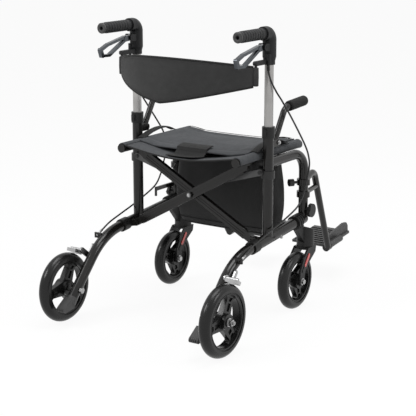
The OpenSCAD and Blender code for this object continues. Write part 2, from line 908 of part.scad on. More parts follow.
module caster_fork() {
  cz = caster_d / 2;
  inner = caster_w / 2 + 3.2;
  color("#26272a")
    difference() {
      union() {
        for (s = [0, 1])
          side(caster_x + (s == 0 ? inner : -inner - 6))
            linear_extrude(6)
              difference() {
                union() {
                  translate([caster_y, cz])
                    circle(d = 26);
                  polygon([
                    [caster_y - 13, cz], [caster_y - 10, cz + 34], [caster_y + 12, cz + 70],
                    [stem_y - 24, 179], [stem_y + 22, 179], [stem_y + 18, 160],
                    [stem_y - 14, 138], [caster_y + 17, cz + 26], [caster_y + 13, cz]
                  ]);
                }
                translate([caster_y, cz])
                  circle(d = 8);
              }
        translate([caster_x, stem_y, 170.5])
          cylinder(h = 8.5, d = 50);
        translate([caster_x - inner - 6, stem_y - 24, 172])
          cube([2 * inner + 12, 44, 7]);
        translate([caster_x, stem_y, 170.5])
          cylinder(h = 46, d = 16);
      }
    }
  // axle bolt with its nut
  color("#b8bcc0")
    side(0)
      translate([caster_y, cz, 0]) {
        translate([0, 0, caster_x - inner - 13])
          cylinder(h = 2 * inner + 26, d = 8);
        for (s = [0, 1])
          translate([0, 0, s == 0 ? caster_x + inner + 6 : caster_x - inner - 12])
            cylinder(h = 6, d = 15, $fn = 6);
      }
  // reflector strips
  color("#c83c37")
    for (s = [0, 1])
      side(caster_x + (s == 0 ? inner + 6 : -inner - 7.5))
        linear_extrude(1.5)
          slot2d([caster_y + 4, cz + 30], [stem_y - 22, 158], 9);
}

// Armrest

module armrest() {
  path = [arm_pivot, [-14, foam_z - 2], [82, foam_z + 4]];
  color("#262628")
    difference() {
      union() {
        side(frame_x)
          flat_bar(path, 34, arm_d);
        side(frame_x - arm_d / 2)
          translate([arm_pivot[0], arm_pivot[1], 0])
            cylinder(h = arm_d, d = arm_d + 4);
      }
      side(frame_x - 20)
        translate([arm_pivot[0], arm_pivot[1], 0])
          cylinder(h = 40, d = 6 + 2 * gap);
    }
}

module arm_foam() {
  a = [-14, foam_z - 2];
  b = [82, foam_z + 4];
  u = unit(b - a);
  l = norm(b - a);
  color("#1e1e1f")
    side(frame_x)
      translate(a)
        rotate([0, 0, atan2(u[1], u[0])])
          rotate([0, 90, 0])
            rotate_extrude()
              polygon([
                [arm_d / 2, 20], [foam_d / 2 - 1, 20], [foam_d / 2, 21], [foam_d / 2, l + 10],
                [foam_d / 2 - 2, l + 13], [foam_d / 2 - 6, l + 15], [0, l + 15], [0, l], [arm_d / 2, l]
              ]);
}

// Footrest, drawn along its own plane and turned in about the front post

module on_front_post(a) {
  translate([frame_x, front_y, 0])
    rotate([0, 0, a])
      children();
}

module footrest_hanger() {
  color("#2a2a2c")
    difference() {
      union() {
        on_front_post(hanger_turn) {
          for (z = [332, 368])
            translate([0, 0, z])
              cylinder(h = 18, d = loop_d + 11);
          side(0) {
            flat_bar([[6, 380], hanger_top, hanger_foot], 34, hanger_d);
            flat_bar([[6, stay_z], stay_end], 1, 15);
          }
          // release knob
          translate([-12, -12, 377])
            rotate([90, 0, -45])
              cylinder(h = 17, d = 8);
          translate([-23, -23, 377])
            rotate([90, 0, -45])
              cylinder(h = 14, d = 22, $fn = 12);
        }
        // foot socket and hinge rod of the plate
        translate(foot_o)
          rotate([plate_tilt, 0, 0]) {
            translate([0, -16, 0])
              rotate([-90, 0, 0])
                cylinder(h = 22, d = 24);
            rotate([-90, 0, 0])
              cylinder(h = 84, d = 11);
            translate([0, 84, 0])
              rotate([-90, 0, 0])
                cylinder(h = 3, d = 13);
          }
      }
      on_front_post(hanger_turn)
        translate([0, 0, 300])
          cylinder(h = 120, d = loop_d + 2 * gap);
    }
}

module footplate() {
  y1 = plate_l + 0.2;
  color("#6d6f71")
    translate(foot_o)
      rotate([plate_tilt, 0, 0])
        difference() {
          union() {
            translate([-13 - plate_w, 8, -8])
              cube([plate_w + 6, y1 - 8, 8]);
            // raised outboard wall
            translate([-13, 0, 0])
              rotate([90, 0, -90])
                translate([0, 0, -1])
                  linear_extrude(7)
                    polygon([[-8, -8], [-y1, -8], [-y1, 18], [-y1 + 8, 30], [-y1 + 30, 34], [-40, 26], [-8, 10]]);
            for (k = [0 : 7])
              translate([-9 - plate_w, 18 + 16 * k, -1])
                cube([plate_w - 16, 6, 4]);
            translate([0, 7, 0])
              rotate([-90, 0, 0])
                cylinder(h = 74, d = 19);
            translate([-12, 7, -8])
              cube([10, 74, 14]);
          }
          translate([0, -20, 0])
            rotate([-90, 0, 0])
              cylinder(h = 140, d = 11 + 2 * gap);
        }
}

// Hooked flat bar on the left front post
module side_hook() {
  color("#3a3b3d")
    difference() {
      union() {
        translate([-frame_x, front_y, 306])
          cylinder(h = 16, d = loop_d + 8);
        translate([-frame_x - 17, front_y - 92, 308])
          cube([5, 92, 12]);
        translate([-frame_x - 17, front_y - 96, 292])
          cube([5, 6, 28]);
      }
      translate([-frame_x, front_y, 290])
        cylinder(h = 60, d = loop_d);
    }
}

// Soft pieces

wrap_n = 9;
wrap_r = (seat_d / 2 + gap) / cos(9);
wrap_in = brace_x + wrap_r * cos(145);
span_n = 21;
sling_nu = 2 * wrap_n + span_n;
sling_nv = 11;
// Height of the sling between the rails, at x and y
function sling_z(x, y) =
  let (
    a = min(abs(x) / wrap_in, 1),
    b = (y - seat_rear_y) / (seat_front_y - seat_rear_y)
  ) seat_z + wrap_r * sin(145) - (20 + 9 * sin(180 * b)) * (1 - pow(a, 2.2)) * (0.6 + 0.4 * cos(90 * a));
function sling_y(j) = seat_rear_y + 6 + (seat_front_y - seat_rear_y - 12) * j / (sling_nv - 1);
// Round a rail from its inner side, k from 0 to wrap_n - 1, at a height over it
function wrap_pt(s, k, y, t) =
  let (a = 145 - 165 * k / (wrap_n - 1))
    [s * (brace_x + (wrap_r + t) * cos(a)), y, seat_z + (wrap_r + t) * sin(a)];
function sling_pt(i, j, t) =
  let (y = sling_y(j), x = wrap_in * (2 * (i - wrap_n + 0.5) / span_n - 1))
    i < wrap_n ? wrap_pt(-1, wrap_n - 1 - i, y, t)
    : i >= wrap_n + span_n ? wrap_pt(1, i - wrap_n - span_n, y, t)
    : [x, y, sling_z(x, y) + t];

module seat_sling() {
  color("#41484b")
    sheet(
      [for (j = [0 : sling_nv - 1], i = [0 : sling_nu - 1]) sling_pt(i, j, 3)],
      [for (j = [0 : sling_nv - 1], i = [0 : sling_nu - 1]) sling_pt(i, j, 0)],
      sling_nu, sling_nv
    );
}

pad_nu = 31;
pad_nv = 19;
pad_y0 = post_y - 45;
pad_half = brace_x - 9;
pad_t = 21;
// Rows and columns lie closer together at the edges
function packed(k, n) = 1 - cos(180 * k / (n - 1));
function pad_x(i) = (packed(i, pad_nu) - 1) * pad_half;
function pad_y(j) = pad_y0 + (seat_front_y - 8 - pad_y0) * packed(j, pad_nv) / 2;
function pad_full(k, n) = sqrt(max(1 - pow(abs(packed(k, n) - 1), 24), 0));
// Underside of the pad, on the sling and where that goes over a rail
function pad_low(x, y) =
  let (
    r = wrap_r + 3 + gap,
    d = brace_x - abs(x)
  ) max(sling_z(x, y) + 3 + gap, d < r ? seat_z + sqrt(r * r - d * d) : 0);
// The two sewn lines draw the top down
function pad_draw(y) = exp(-pow((y - post_y + 19) / 7, 2)) + exp(-pow((y - seat_front_y + 50) / 7, 2));
function pad_top(i, j) =
  let (full = pad_full(i, pad_nu) * pad_full(j, pad_nv))
    pad_low(pad_x(i), pad_y(j)) + 9 + (pad_t - 9) * full - 4 * full * pad_draw(pad_y(j));

module seat_pad() {
  color("#454d50")
    sheet(
      [for (j = [0 : pad_nv - 1], i = [0 : pad_nu - 1]) [pad_x(i), pad_y(j), pad_top(i, j)]],
      [for (j = [0 : pad_nv - 1], i = [0 : pad_nu - 1]) [pad_x(i), pad_y(j), pad_low(pad_x(i), pad_y(j))]],
      pad_nu, pad_nv
    );
}

back_nu = 41;
back_nv = 9;
back_mid_y = post_y - 198;
// Share of the way along the band, from -1 at the left pin to 1 at the right pin
function back_s(i) = 0.985 * (2 * i / (back_nu - 1) - 1);
function sgn_pow(v, e) = (v < 0 ? -1 : 1) * pow(abs(v), e);
// Plan of the band between its pins, moved out by o
function back_xy(s, o) =
  let (
    bow = back_end_y - back_mid_y,
    run = [frame_x, 2 * bow * s]
  ) [frame_x * s, back_mid_y + bow * s * s] + [run[1], -run[0]] / norm(run) * o;
function back_top(s) = handle_base_z + 24 - 25 * s * s;
function back_low(s) = handle_base_z - 98 + 66 * pow(abs(s), 1.3);
function back_pt(i, j, o) =
  let (
    s = back_s(i),
    v = j / (back_nv - 1),
    puff = sqrt(max(1 - pow(abs(2 * v - 1), 4), 0)),
    p = back_xy(s, o * (0.35 + 0.65 * puff))
  ) [p[0], p[1], back_low(s) + v * (back_top(s) - back_low(s))];

module backrest_band() {
  color("#2d2d2f")
    difference() {
      union() {
        sheet(
          [for (j = [0 : back_nv - 1], i = [0 : back_nu - 1]) back_pt(i, j, 6)],
          [for (j = [0 : back_nv - 1], i = [0 : back_nu - 1]) back_pt(i, j, -6)],
          back_nu, back_nv
        );
        for (s = [-1, 1])
          translate([s * frame_x, back_end_y, back_low(1) + 1])
            cylinder(h = back_top(1) - back_low(1) - 2, d = back_pin_d + 9);
      }
      for (s = [-1, 1])
        translate([s * frame_x, back_end_y, back_low(1) - 20])
          cylinder(h = back_top(1) - back_low(1) + 40, d = back_pin_d + 2 * gap);
    }
}

bag_n = 32;
bag_m = 11;
function bag_w(t) = frame_x - 65 + 15 * sin(180 * pow(t, 0.8)) + 6 * t;
function bag_d(t) = 30 + 12 * sin(180 * pow(t, 0.55));
function bag_ring(t, k) =
  let (
    a = 360 * k / bag_n,
    e = 0.42
  ) [
    bag_w(t) * sgn_pow(cos(a), e),
    bag_y + bag_d(t) * sgn_pow(sin(a), e) + 14 * pow(t, 6) * (sin(a) > 0 ? 1 : 0)
      - 5 * pow(cos(90 * cos(a)), 2) * (1 - t),
    bag_z + 232 * t + 6 * pow(cos(a), 2) * (1 - t)
  ];

module storage_bag() {
  color("#202022") {
    polyhedron(
      points = concat(
        [for (j = [0 : bag_m - 1], k = [0 : bag_n - 1]) bag_ring(j / (bag_m - 1), k)],
        [[0, bag_y, bag_z - 3], [0, bag_y + 2, bag_z + 230]]
      ),
      faces = concat(
        [for (j = [0 : bag_m - 2], k = [0 : bag_n - 1])
          [j * bag_n + k, (j + 1) * bag_n + k, (j + 1) * bag_n + (k + 1) % bag_n, j * bag_n + (k + 1) % bag_n]],
        [for (k = [0 : bag_n - 1]) [bag_n * bag_m, k, (k + 1) % bag_n]],
        [for (k = [0 : bag_n - 1])
          [bag_n * bag_m + 1, (bag_m - 1) * bag_n + (k + 1) % bag_n, (bag_m - 1) * bag_n + k]]
      ),
      convexity = 4
    );
    for (s = [-1, 1])
      translate([s * (frame_x - 39) - 25.5, bag_y - 28, upper_z - 17])
        cube([51, 26, 12]);
  }
}

module left() {
  mirror([1, 0, 0])
    children();
}

rear_post();  // right_rear_post
side_loop();  // right_side_loop
lower_rail(layer_b);  // right_lower_rail
rear_leg();  // right_rear_leg
clamps();  // right_clamps
fold_bracket();  // right_fold_bracket
caster_head();  // right_caster_head
kerb_pedal();  // right_kerb_pedal
rear_axle();  // right_rear_axle
brake_cable();  // right_brake_cable
left() rear_post();  // left_rear_post
left() side_loop();  // left_side_loop
left() lower_rail(layer_a);  // left_lower_rail
left() rear_leg();  // left_rear_leg
left() clamps();  // left_clamps
left() fold_bracket();  // left_fold_bracket
left() caster_head();  // left_caster_head
left() kerb_pedal();  // left_kerb_pedal
left() rear_axle();  // left_rear_axle
left() brake_cable();  // left_brake_cable
cross_bar_a();
cross_bar_b();
seat_rail();  // right_seat_rail
left() seat_rail();  // left_seat_rail
cross_pivot_bolt();
link();  // right_link
left() link();  // left_link
handle_tube();  // right_handle_tube
left() handle_tube();  // left_handle_tube
handle();  // right_handle
left() handle();  // left_handle
brake_lever();  // right_brake_lever
left() brake_lever();  // left_brake_lever
brake_arm();  // right_brake_arm
left() brake_arm();  // left_brake_arm
rear_tyre();  // right_rear_tyre
left() rear_tyre();  // left_rear_tyre
rear_rim();  // right_rear_rim
left() rear_rim();  // left_rear_rim
caster_fork();  // right_caster_fork
left() caster_fork();  // left_caster_fork
caster_tyre();  // right_caster_tyre
left() caster_tyre();  // left_caster_tyre
caster_rim();  // right_caster_rim
left() caster_rim();  // left_caster_rim
armrest();  // right_armrest
left() armrest();  // left_armrest
arm_foam();  // right_arm_foam
left() arm_foam();  // left_arm_foam
footrest_hanger();  // right_footrest_hanger
left() footrest_hanger();  // left_footrest_hanger
footplate();  // right_footplate
left() footplate();  // left_footplate
side_hook();
seat_sling();
seat_pad();
backrest_band();
storage_bag();
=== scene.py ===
"""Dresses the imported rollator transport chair: finishes, soft goods, cables, fasteners and a studio."""

import json
import math

import bmesh
import bpy
import numpy as np
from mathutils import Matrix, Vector, noise


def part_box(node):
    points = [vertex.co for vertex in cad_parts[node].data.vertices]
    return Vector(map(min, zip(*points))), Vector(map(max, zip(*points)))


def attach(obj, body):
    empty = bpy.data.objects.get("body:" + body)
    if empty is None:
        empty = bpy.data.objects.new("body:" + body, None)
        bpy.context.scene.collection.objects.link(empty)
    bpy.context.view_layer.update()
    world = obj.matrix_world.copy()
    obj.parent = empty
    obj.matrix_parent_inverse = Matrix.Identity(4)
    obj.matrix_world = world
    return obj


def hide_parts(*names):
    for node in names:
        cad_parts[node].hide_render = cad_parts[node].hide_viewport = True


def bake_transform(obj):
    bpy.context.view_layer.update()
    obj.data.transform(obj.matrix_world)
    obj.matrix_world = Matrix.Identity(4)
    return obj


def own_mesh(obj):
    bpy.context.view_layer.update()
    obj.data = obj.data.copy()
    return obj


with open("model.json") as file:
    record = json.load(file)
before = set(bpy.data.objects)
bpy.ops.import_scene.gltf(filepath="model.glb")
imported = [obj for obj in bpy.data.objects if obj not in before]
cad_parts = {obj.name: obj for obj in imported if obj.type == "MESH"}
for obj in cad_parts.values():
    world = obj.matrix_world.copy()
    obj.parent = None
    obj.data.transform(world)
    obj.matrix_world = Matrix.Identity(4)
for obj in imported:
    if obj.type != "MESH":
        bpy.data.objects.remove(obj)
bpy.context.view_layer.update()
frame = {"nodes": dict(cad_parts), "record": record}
scene = bpy.context.scene
scene.view_settings.view_transform = "Standard"
sides = {"right": 1.0, "left": -1.0}


# Places read from the frame, in metres


def middle(node):
    low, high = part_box(node)
    return (low + high) / 2


def size_of(node):
    low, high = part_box(node)
    return high - low


cap_edge = 0.0005
rail_x = middle("right_seat_rail").x
rail_z = middle("right_seat_rail").z
rail_r = size_of("right_seat_rail").x / 2 - cap_edge
tube_x = middle("right_handle_tube").x
tube_y = middle("right_handle_tube").y
sling_low, sling_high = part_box("seat_sling")
pad_low, pad_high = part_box("seat_pad")
band_low, band_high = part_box("backrest_band")
caster_at = {side: middle(f"{side}_caster_rim") for side in sides}


# Camera and studio


def add_object(name, data):
    obj = bpy.data.objects.new(name, data)
    scene.collection.objects.link(obj)
    return obj


def make_camera():
    azimuth, elevation = math.radians(33.78), math.radians(13.75)
    flat = math.cos(elevation)
    back = Vector((math.sin(azimuth) * flat, -math.cos(azimuth) * flat, math.sin(elevation)))
    data = bpy.data.cameras.new("camera")
    data.sensor_width = 36.0
    data.lens = 108.07
    data.clip_end = 60.0
    camera = add_object("camera", data)
    camera.location = (1.9689, -3.0081, 1.1670)
    camera.rotation_euler = (-back).to_track_quat("-Z", "Y").to_euler()
    scene.camera = camera


class Tree:
    """Short calls that add and join the nodes of one tree."""

    def __init__(self, tree):
        self.tree = tree

    def node(self, kind, inputs=None, **settings):
        made = self.tree.nodes.new(kind)
        for key, value in settings.items():
            setattr(made, key, value)
        for key, value in (inputs or {}).items():
            self.feed(made.inputs[key], value)
        return made

    def feed(self, socket, value):
        if isinstance(value, bpy.types.NodeSocket):
            self.tree.links.new(value, socket)
        else:
            socket.default_value = value

    def math(self, operation, a, b=0.0):
        return self.node("ShaderNodeMath", {0: a, 1: b}, operation=operation).outputs[0]

    def mix(self, factor, a, b):
        made = self.node("ShaderNodeMix", data_type="RGBA")
        self.feed(made.inputs[0], factor)
        self.feed(made.inputs[6], a)
        self.feed(made.inputs[7], b)
        return made.outputs[2]

    def spread(self, value, low, high):
        inputs = {"Value": value, "From Min": 0.3, "From Max": 0.7, "To Min": low, "To Max": high}
        return self.node("ShaderNodeMapRange", inputs).outputs[0]

    def place(self):
        return self.node("ShaderNodeTexCoord").outputs["Object"]

    def mottle(self, place, scale, detail):
        inputs = {"Vector": place, "Scale": scale, "Detail": detail}
        return self.node("ShaderNodeTexNoise", inputs).outputs[0]

    def aim(self, along):
        return self.node("FunctionNodeAlignRotationToVector", {"Vector": along}, axis="Z").outputs[0]


def emptied_tree(owner):
    """The owner's own node tree, with nothing in it yet."""
    owner.use_nodes = True
    owner.node_tree.nodes.clear()
    return Tree(owner.node_tree)


def seen_directly(tree):
    """1 where the camera, a reflection or a see-through piece looks at the surface."""
    path = tree.node("ShaderNodeLightPath").outputs
    seen = tree.math("MAXIMUM", path["Is Camera Ray"], path["Is Glossy Ray"])
    return tree.math("MAXIMUM", seen, path["Is Transmission Ray"])


def make_studio():
    world = bpy.data.worlds.new("studio")
    scene.world = world
    tree = emptied_tree(world)
    fill = tree.node("ShaderNodeBackground", {"Color": (1, 1, 1, 1), "Strength": 0.52})
    white = tree.node("ShaderNodeBackground", {"Color": (1, 1, 1, 1), "Strength": 1.0})
    both = tree.node(
        "ShaderNodeMixShader", {0: seen_directly(tree), 1: fill.outputs[0], 2: white.outputs[0]}
    )
    tree.node("ShaderNodeOutputWorld", {"Surface": both.outputs[0]})

    half, floor_drop, white_share = 40.0, 0.0004, 0.92
    corners = [(-half, -half, 0), (half, -half, 0), (half, half, 0), (-half, half, 0)]
    mesh = bpy.data.meshes.new("floor")
    mesh.from_pydata(corners, [], [(0, 1, 2, 3)])
    floor = add_object("floor", mesh)
    floor.location.z = -floor_drop
    material = bpy.data.materials.new("pale_floor")
    tree = emptied_tree(material)
    matt = tree.node("ShaderNodeBsdfDiffuse", {"Color": (0.86, 0.86, 0.86, 1)})
    white = tree.node("ShaderNodeEmission", {"Color": (1, 1, 1, 1), "Strength": 1.0})
    share = tree.math("MULTIPLY", seen_directly(tree), white_share)
    both = tree.node("ShaderNodeMixShader", {0: share, 1: matt.outputs[0], 2: white.outputs[0]})
    tree.node("ShaderNodeOutputMaterial", {"Surface": both.outputs[0]})
    mesh.materials.append(material)

    lamps = {
        "key": ((-1.8, -3.0, 3.2), 1.5, 70.0),
        "top": ((0.3, 0.0, 3.0), 1.6, 46.0),
        "rim": ((3.0, 0.6, 2.2), 1.2, 26.0),
    }
    target = Vector((0.0, 0.0, 0.4))
    for name, (place, width, power) in lamps.items():
        data = bpy.data.lights.new(name, "AREA")
        data.shape = "SQUARE"
        data.size = width
        data.energy = power
        lamp = add_object(name, data)
        lamp.location = place
        lamp.rotation_euler = (target - Vector(place)).to_track_quat("-Z", "Y").to_euler()


# Shared surface effects

number_socket = "NodeSocketFloat"


def new_group(name, inputs, outputs, kind="ShaderNodeTree"):
    """A new node group, with its tree, its input sockets and its output sockets."""
    tree = bpy.data.node_groups.new(name, kind)
    for label, socket_type, value in inputs:
        socket = tree.interface.new_socket(name=label, in_out="INPUT", socket_type=socket_type)
        if value is not None:
            socket.default_value = value
    for label, socket_type in outputs:
        tree.interface.new_socket(name=label, in_out="OUTPUT", socket_type=socket_type)
    work = Tree(tree)
    return work, work.node("NodeGroupInput").outputs, work.node("NodeGroupOutput").inputs


def make_grain_group():
    """Fine moulded or sprayed grain, with a broad mask for uneven colour and gloss."""
    work, given, out = new_group(
        "surface_grain",
        [("Scale", number_socket, 900.0), ("Patch Scale", number_socket, 14.0)],
        [("Height", number_socket), ("Patches", number_socket)],
    )
    place = work.place()
    work.feed(out["Height"], work.mottle(place, given["Scale"], 3.0))
    broad = work.mottle(place, given["Patch Scale"], 5.0)
    work.feed(out["Patches"], work.spread(broad, 0.0, 1.0))
    return work.tree


def make_weave_group():
    """Plain weave over and under, on coordinates in metres."""
    work, given, out = new_group(
        "plain_weave",
        [("Vector", "NodeSocketVector", None), ("Pitch", number_socket, 0.0016)],
        [("Height", number_socket), ("Threads", number_socket)],
    )
    turns = work.math("DIVIDE", 1.0, given["Pitch"])
    inputs = {0: given["Vector"], "Scale": turns}
    scaled = work.node("ShaderNodeVectorMath", inputs, operation="SCALE").outputs[0]
    axes = work.node("ShaderNodeSeparateXYZ", {0: scaled}).outputs
    waves = [
        work.math("ABSOLUTE", work.math("SINE", work.math("MULTIPLY", axes[k], math.pi))) for k in (0, 1)
    ]
    over = work.node("ShaderNodeTexChecker", {"Vector": scaled, "Scale": 1.0}).outputs[1]
    height = work.math(
        "ADD",
        work.math("MULTIPLY", waves[0], over),
        work.math("MULTIPLY", waves[1], work.math("SUBTRACT", 1.0, over)),
    )
    slub = work.mottle(given["Vector"], 60.0, 4.0)
    work.feed(out["Height"], height)
    # Threads: the weave height times the slub. Low places between threads give painted shade, and the slub
    # gives uneven thread tone.
    work.feed(out["Threads"], work.math("MULTIPLY", height, work.spread(slub, 0.6, 1.0)))
    return work.tree


def make_brushed_group():
    """Fine lines along the tube, as drawn and anodised metal has."""
    work, given, out = new_group(
        "drawn_lines",
        [("Across", number_socket, 700.0), ("Along", number_socket, 6.0)],
        [("Lines", number_socket), ("Patches", number_socket)],
    )
    place = work.place()
    stretch = work.node("ShaderNodeCombineXYZ", {0: given["Across"], 1: given["Across"], 2: given["Along"]})
    inputs = {0: place, 1: stretch.outputs[0]}
    lined = work.node("ShaderNodeVectorMath", inputs, operation="MULTIPLY").outputs[0]
    work.feed(out["Lines"], work.mottle(lined, 1.0, 2.0))
    work.feed(out["Patches"], work.spread(work.mottle(place, 22.0, 4.0), 0.0, 1.0))
    return work.tree


# Finishes


def shader(name, **plain):
    """A new material's tree and its Principled shader, with the plain values set on its own sockets."""
    material = bpy.data.materials.new(name)
    tree = emptied_tree(material)
    surface = tree.node("ShaderNodeBsdfPrincipled")
    for key, value in plain.items():
        surface.inputs[key.replace("_", " ").title().replace("Ior", "IOR")].default_value = value
    tree.node("ShaderNodeOutputMaterial", {"Surface": surface.outputs[0]})
    return material, tree, surface.inputs


def bump(tree, height, distance, strength=1.0):
    inputs = {"Height": height, "Distance": distance, "Strength": strength}
    return tree.node("ShaderNodeBump", inputs).outputs[0]


def use(tree, group, inputs=None):
    made = tree.node("ShaderNodeGroup", node_tree=group)
    for key, value in (inputs or {}).items():
        tree.feed(made.inputs[key], value)
    return made.outputs


def grey(value, warm=0.0):
    return (value * (1 + warm), value, value * (1 - warm), 1.0)


def moulded(name, dark, light, rough, gleam, grain=1100.0, depth=0.00006):
    """Moulded plastic or sprayed paint: uneven tone, uneven gloss and a fine grain."""
    material, tree, surface = shader(name, specular_ior_level=gleam)
    effect = use(tree, grain_group, {"Scale": grain})
    tree.feed(surface["Base Color"], tree.mix(effect["Patches"], dark, light))
    tree.feed(surface["Roughness"], tree.spread(effect["Patches"], rough * 0.9, rough * 1.1))
    tree.feed(surface["Normal"], bump(tree, effect["Height"], depth))
    return material


def drawn_metal(name, dark, light, rough):
    """Bare or plated metal with fine lines along it."""
    material, tree, surface = shader(name, metallic=1.0)
    effect = use(tree, brushed_group)
    tree.feed(surface["Base Color"], tree.mix(effect["Patches"], dark, light))
    tree.feed(surface["Roughness"], tree.spread(effect["Lines"], rough * 0.8, rough * 1.2))
    tree.feed(surface["Normal"], bump(tree, effect["Lines"], 0.00004))
    return material


def woven(name, dark, light, rough, pitch, depth, gleam=0.3):
    """Cloth whose weave follows the piece's own map, in metres."""
    material, tree, surface = shader(name, specular_ior_level=gleam)
    place = tree.node("ShaderNodeUVMap", uv_map="cloth").outputs[0]
    effect = use(tree, weave_group, {"Vector": place, "Pitch": pitch})
    patches = use(tree, grain_group, {"Scale": 400.0, "Patch Scale": 9.0})["Patches"]
    # Painted shade: the cloth is darker in the hollows between threads and lighter on their crests, with
    # uneven tone from the slub.
    tone = tree.mix(effect["Threads"], dark, light)
    tree.feed(surface["Base Color"], tree.mix(tree.math("MULTIPLY", patches, 0.35), tone, dark))
    tree.feed(surface["Roughness"], tree.spread(patches, rough * 0.94, rough))
    tree.feed(surface["Normal"], bump(tree, effect["Height"], depth))
    return material


def foam_finish(name):
    material, tree, surface = shader(name, specular_ior_level=0.25)
    cells = tree.node("ShaderNodeTexVoronoi", {"Vector": tree.place(), "Scale": 800.0}).outputs["Distance"]
    effect = use(tree, grain_group, {"Scale": 500.0})
    tree.feed(surface["Base Color"], tree.mix(effect["Patches"], grey(0.010), grey(0.018)))
    tree.feed(surface["Roughness"], tree.spread(effect["Patches"], 0.82, 0.95))
    tree.feed(surface["Normal"], bump(tree, cells, 0.0004))
    return material


def grip_finish(name):
    """Handle moulding, with raised dots where the hand holds it."""
    material, tree, surface = shader(name, specular_ior_level=0.28)
    grip_front = tube_y - 0.042
    place = tree.place()
    effect = use(tree, grain_group, {"Scale": 1000.0})
    dots = tree.node("ShaderNodeTexVoronoi", {"Vector": place, "Scale": 330.0, "Randomness": 0.15})
    along = tree.node("ShaderNodeSeparateXYZ", {0: place}).outputs[1]
    held = tree.math("LESS_THAN", along, grip_front)
    raised = tree.math("MULTIPLY", tree.spread(dots.outputs["Distance"], 1.0, 0.0), held)
    height = tree.math("ADD", raised, tree.math("MULTIPLY", effect["Height"], 0.12))
    tone = tree.mix(effect["Patches"], (0.0065, 0.0068, 0.0075, 1), (0.0100, 0.0104, 0.0112, 1))
    # The raised dots are coloured lighter than the rest of the grip.
    lighter_dots = tree.mix(tree.math("MULTIPLY", raised, 0.5), tone, (0.026, 0.026, 0.027, 1))
    tree.feed(surface["Base Color"], lighter_dots)
    tree.feed(surface["Roughness"], tree.spread(effect["Patches"], 0.46, 0.58))
    tree.feed(surface["Normal"], bump(tree, height, 0.0006))
    return material


def reflector_finish(name):
    material, tree, surface = shader(name, coat_weight=0.6, coat_roughness=0.05)
    inputs = {"Vector": tree.place(), "Scale": 420.0, "Randomness": 0.1}
    facets = tree.node("ShaderNodeTexVoronoi", inputs).outputs["Distance"]
    tree.feed(surface["Base Color"], tree.mix(facets, (0.62, 0.045, 0.035, 1), (0.36, 0.015, 0.012, 1)))
    tree.feed(surface["Roughness"], tree.spread(facets, 0.12, 0.3))
    tree.feed(surface["Normal"], bump(tree, facets, 0.0005))
    return material


grain_group = make_grain_group()
weave_group = make_weave_group()
brushed_group = make_brushed_group()

frame_paint = moulded(
    "satin_black_paint", grey(0.0052, 0.06), grey(0.0085, 0.08), 0.19, 0.36, 1600.0, 0.00002
)
black_moulding = moulded("black_moulding", grey(0.009), grey(0.014), 0.42, 0.26)
bracket_moulding = moulded("dark_grey_moulding", grey(0.018), grey(0.026), 0.44, 0.28)
grey_moulding = moulded("mid_grey_moulding", grey(0.038), grey(0.052), 0.52, 0.4)
rim_moulding = moulded("spoked_rim_moulding", grey(0.006), grey(0.010), 0.26, 0.3)
tyre_rubber = moulded("tyre_rubber", grey(0.005), grey(0.010), 0.25, 0.29, 700.0, 0.00005)
cable_jacket = moulded("cable_jacket", grey(0.006), grey(0.010), 0.4, 0.4)
zinc_plate = drawn_metal("zinc_plate", grey(0.36), grey(0.47), 0.32)
link_plate = drawn_metal("dark_plated_steel", grey(0.07), grey(0.11), 0.4)
silver_anodise = drawn_metal("silver_anodised_tube", grey(0.33, 0.02), grey(0.41, 0.02), 0.42)
lever_alloy = drawn_metal("dark_lever_alloy", (0.060, 0.066, 0.073, 1), (0.110, 0.118, 0.128, 1), 0.26)
handle_moulding = grip_finish("textured_handle_moulding")
end_ring = moulded("grip_end_ring", grey(0.030), grey(0.042), 0.4, 0.4)
arm_foam = foam_finish("black_foam")
red_reflector = reflector_finish("red_reflector")
seat_cloth = woven(
    "slate_seat_cloth", (0.034, 0.036, 0.039, 1), (0.082, 0.086, 0.092, 1), 0.82, 0.0017, 0.00025
)
seat_edge_cloth = woven("dark_seat_edge", grey(0.018), grey(0.044), 0.8, 0.0017, 0.00025)
back_cloth = woven("charcoal_back_cloth", grey(0.021), grey(0.049), 0.8, 0.0014, 0.0002)
bag_cloth = woven("black_bag_cloth", grey(0.007), grey(0.014), 0.7, 0.0012, 0.00018, 0.35)
webbing = woven("black_webbing", grey(0.006), grey(0.015), 0.75, 0.0022, 0.0004)
thread = moulded("black_thread", grey(0.02), grey(0.035), 0.7, 0.3, 2500.0, 0.0001)

slot_finishes = {
    "frame_paint": frame_paint,
    "black_plastic": black_moulding,
    "bracket_plastic": bracket_moulding,
    "grey_plastic": grey_moulding,
    "zinc_steel": zinc_plate,
    "link_steel": link_plate,
    "cable_jacket": cable_jacket,
    "silver_tube": silver_anodise,
    "handle_plastic": handle_moulding,
    "lever_alloy": lever_alloy,
    "tyre": tyre_rubber,
    "rim_plastic": rim_moulding,
    "foam": arm_foam,
    "seat_fabric": seat_cloth,
    "back_fabric": back_cloth,
    "bag_fabric": bag_cloth,
}


def paint_frame():
    for row in frame["record"]["subparts"]:
        mesh = frame["nodes"][row["node"]].data
        mesh.materials.clear()
        mesh.materials.append(slot_finishes[row["material_slot"]])


# Mesh helpers


def new_piece(name, points, faces, material, smooth=True):
    mesh = bpy.data.meshes.new(name)
    mesh.from_pydata([tuple(p) for p in points], [], [tuple(f) for f in faces])
    mesh.materials.append(material)
    mesh.polygons.foreach_set("use_smooth", [smooth] * len(mesh.polygons))
    mesh.update()
    return add_object(name, mesh)


def face_outwards(obj):
    work = bmesh.new()
    work.from_mesh(obj.data)
    bmesh.ops.recalc_face_normals(work, faces=work.faces)
    work.to_mesh(obj.data)
    work.free()
    return obj


def set_cloth_map(obj, coordinates):
    """Gives each corner its vertex's place on the cloth, in metres."""
    layer = obj.data.uv_layers.new(name="cloth")
    corners = np.zeros(len(obj.data.loops), int)
    obj.data.loops.foreach_get("vertex_index", corners)
    layer.data.foreach_set("uv", np.asarray(coordinates, float)[corners].ravel())


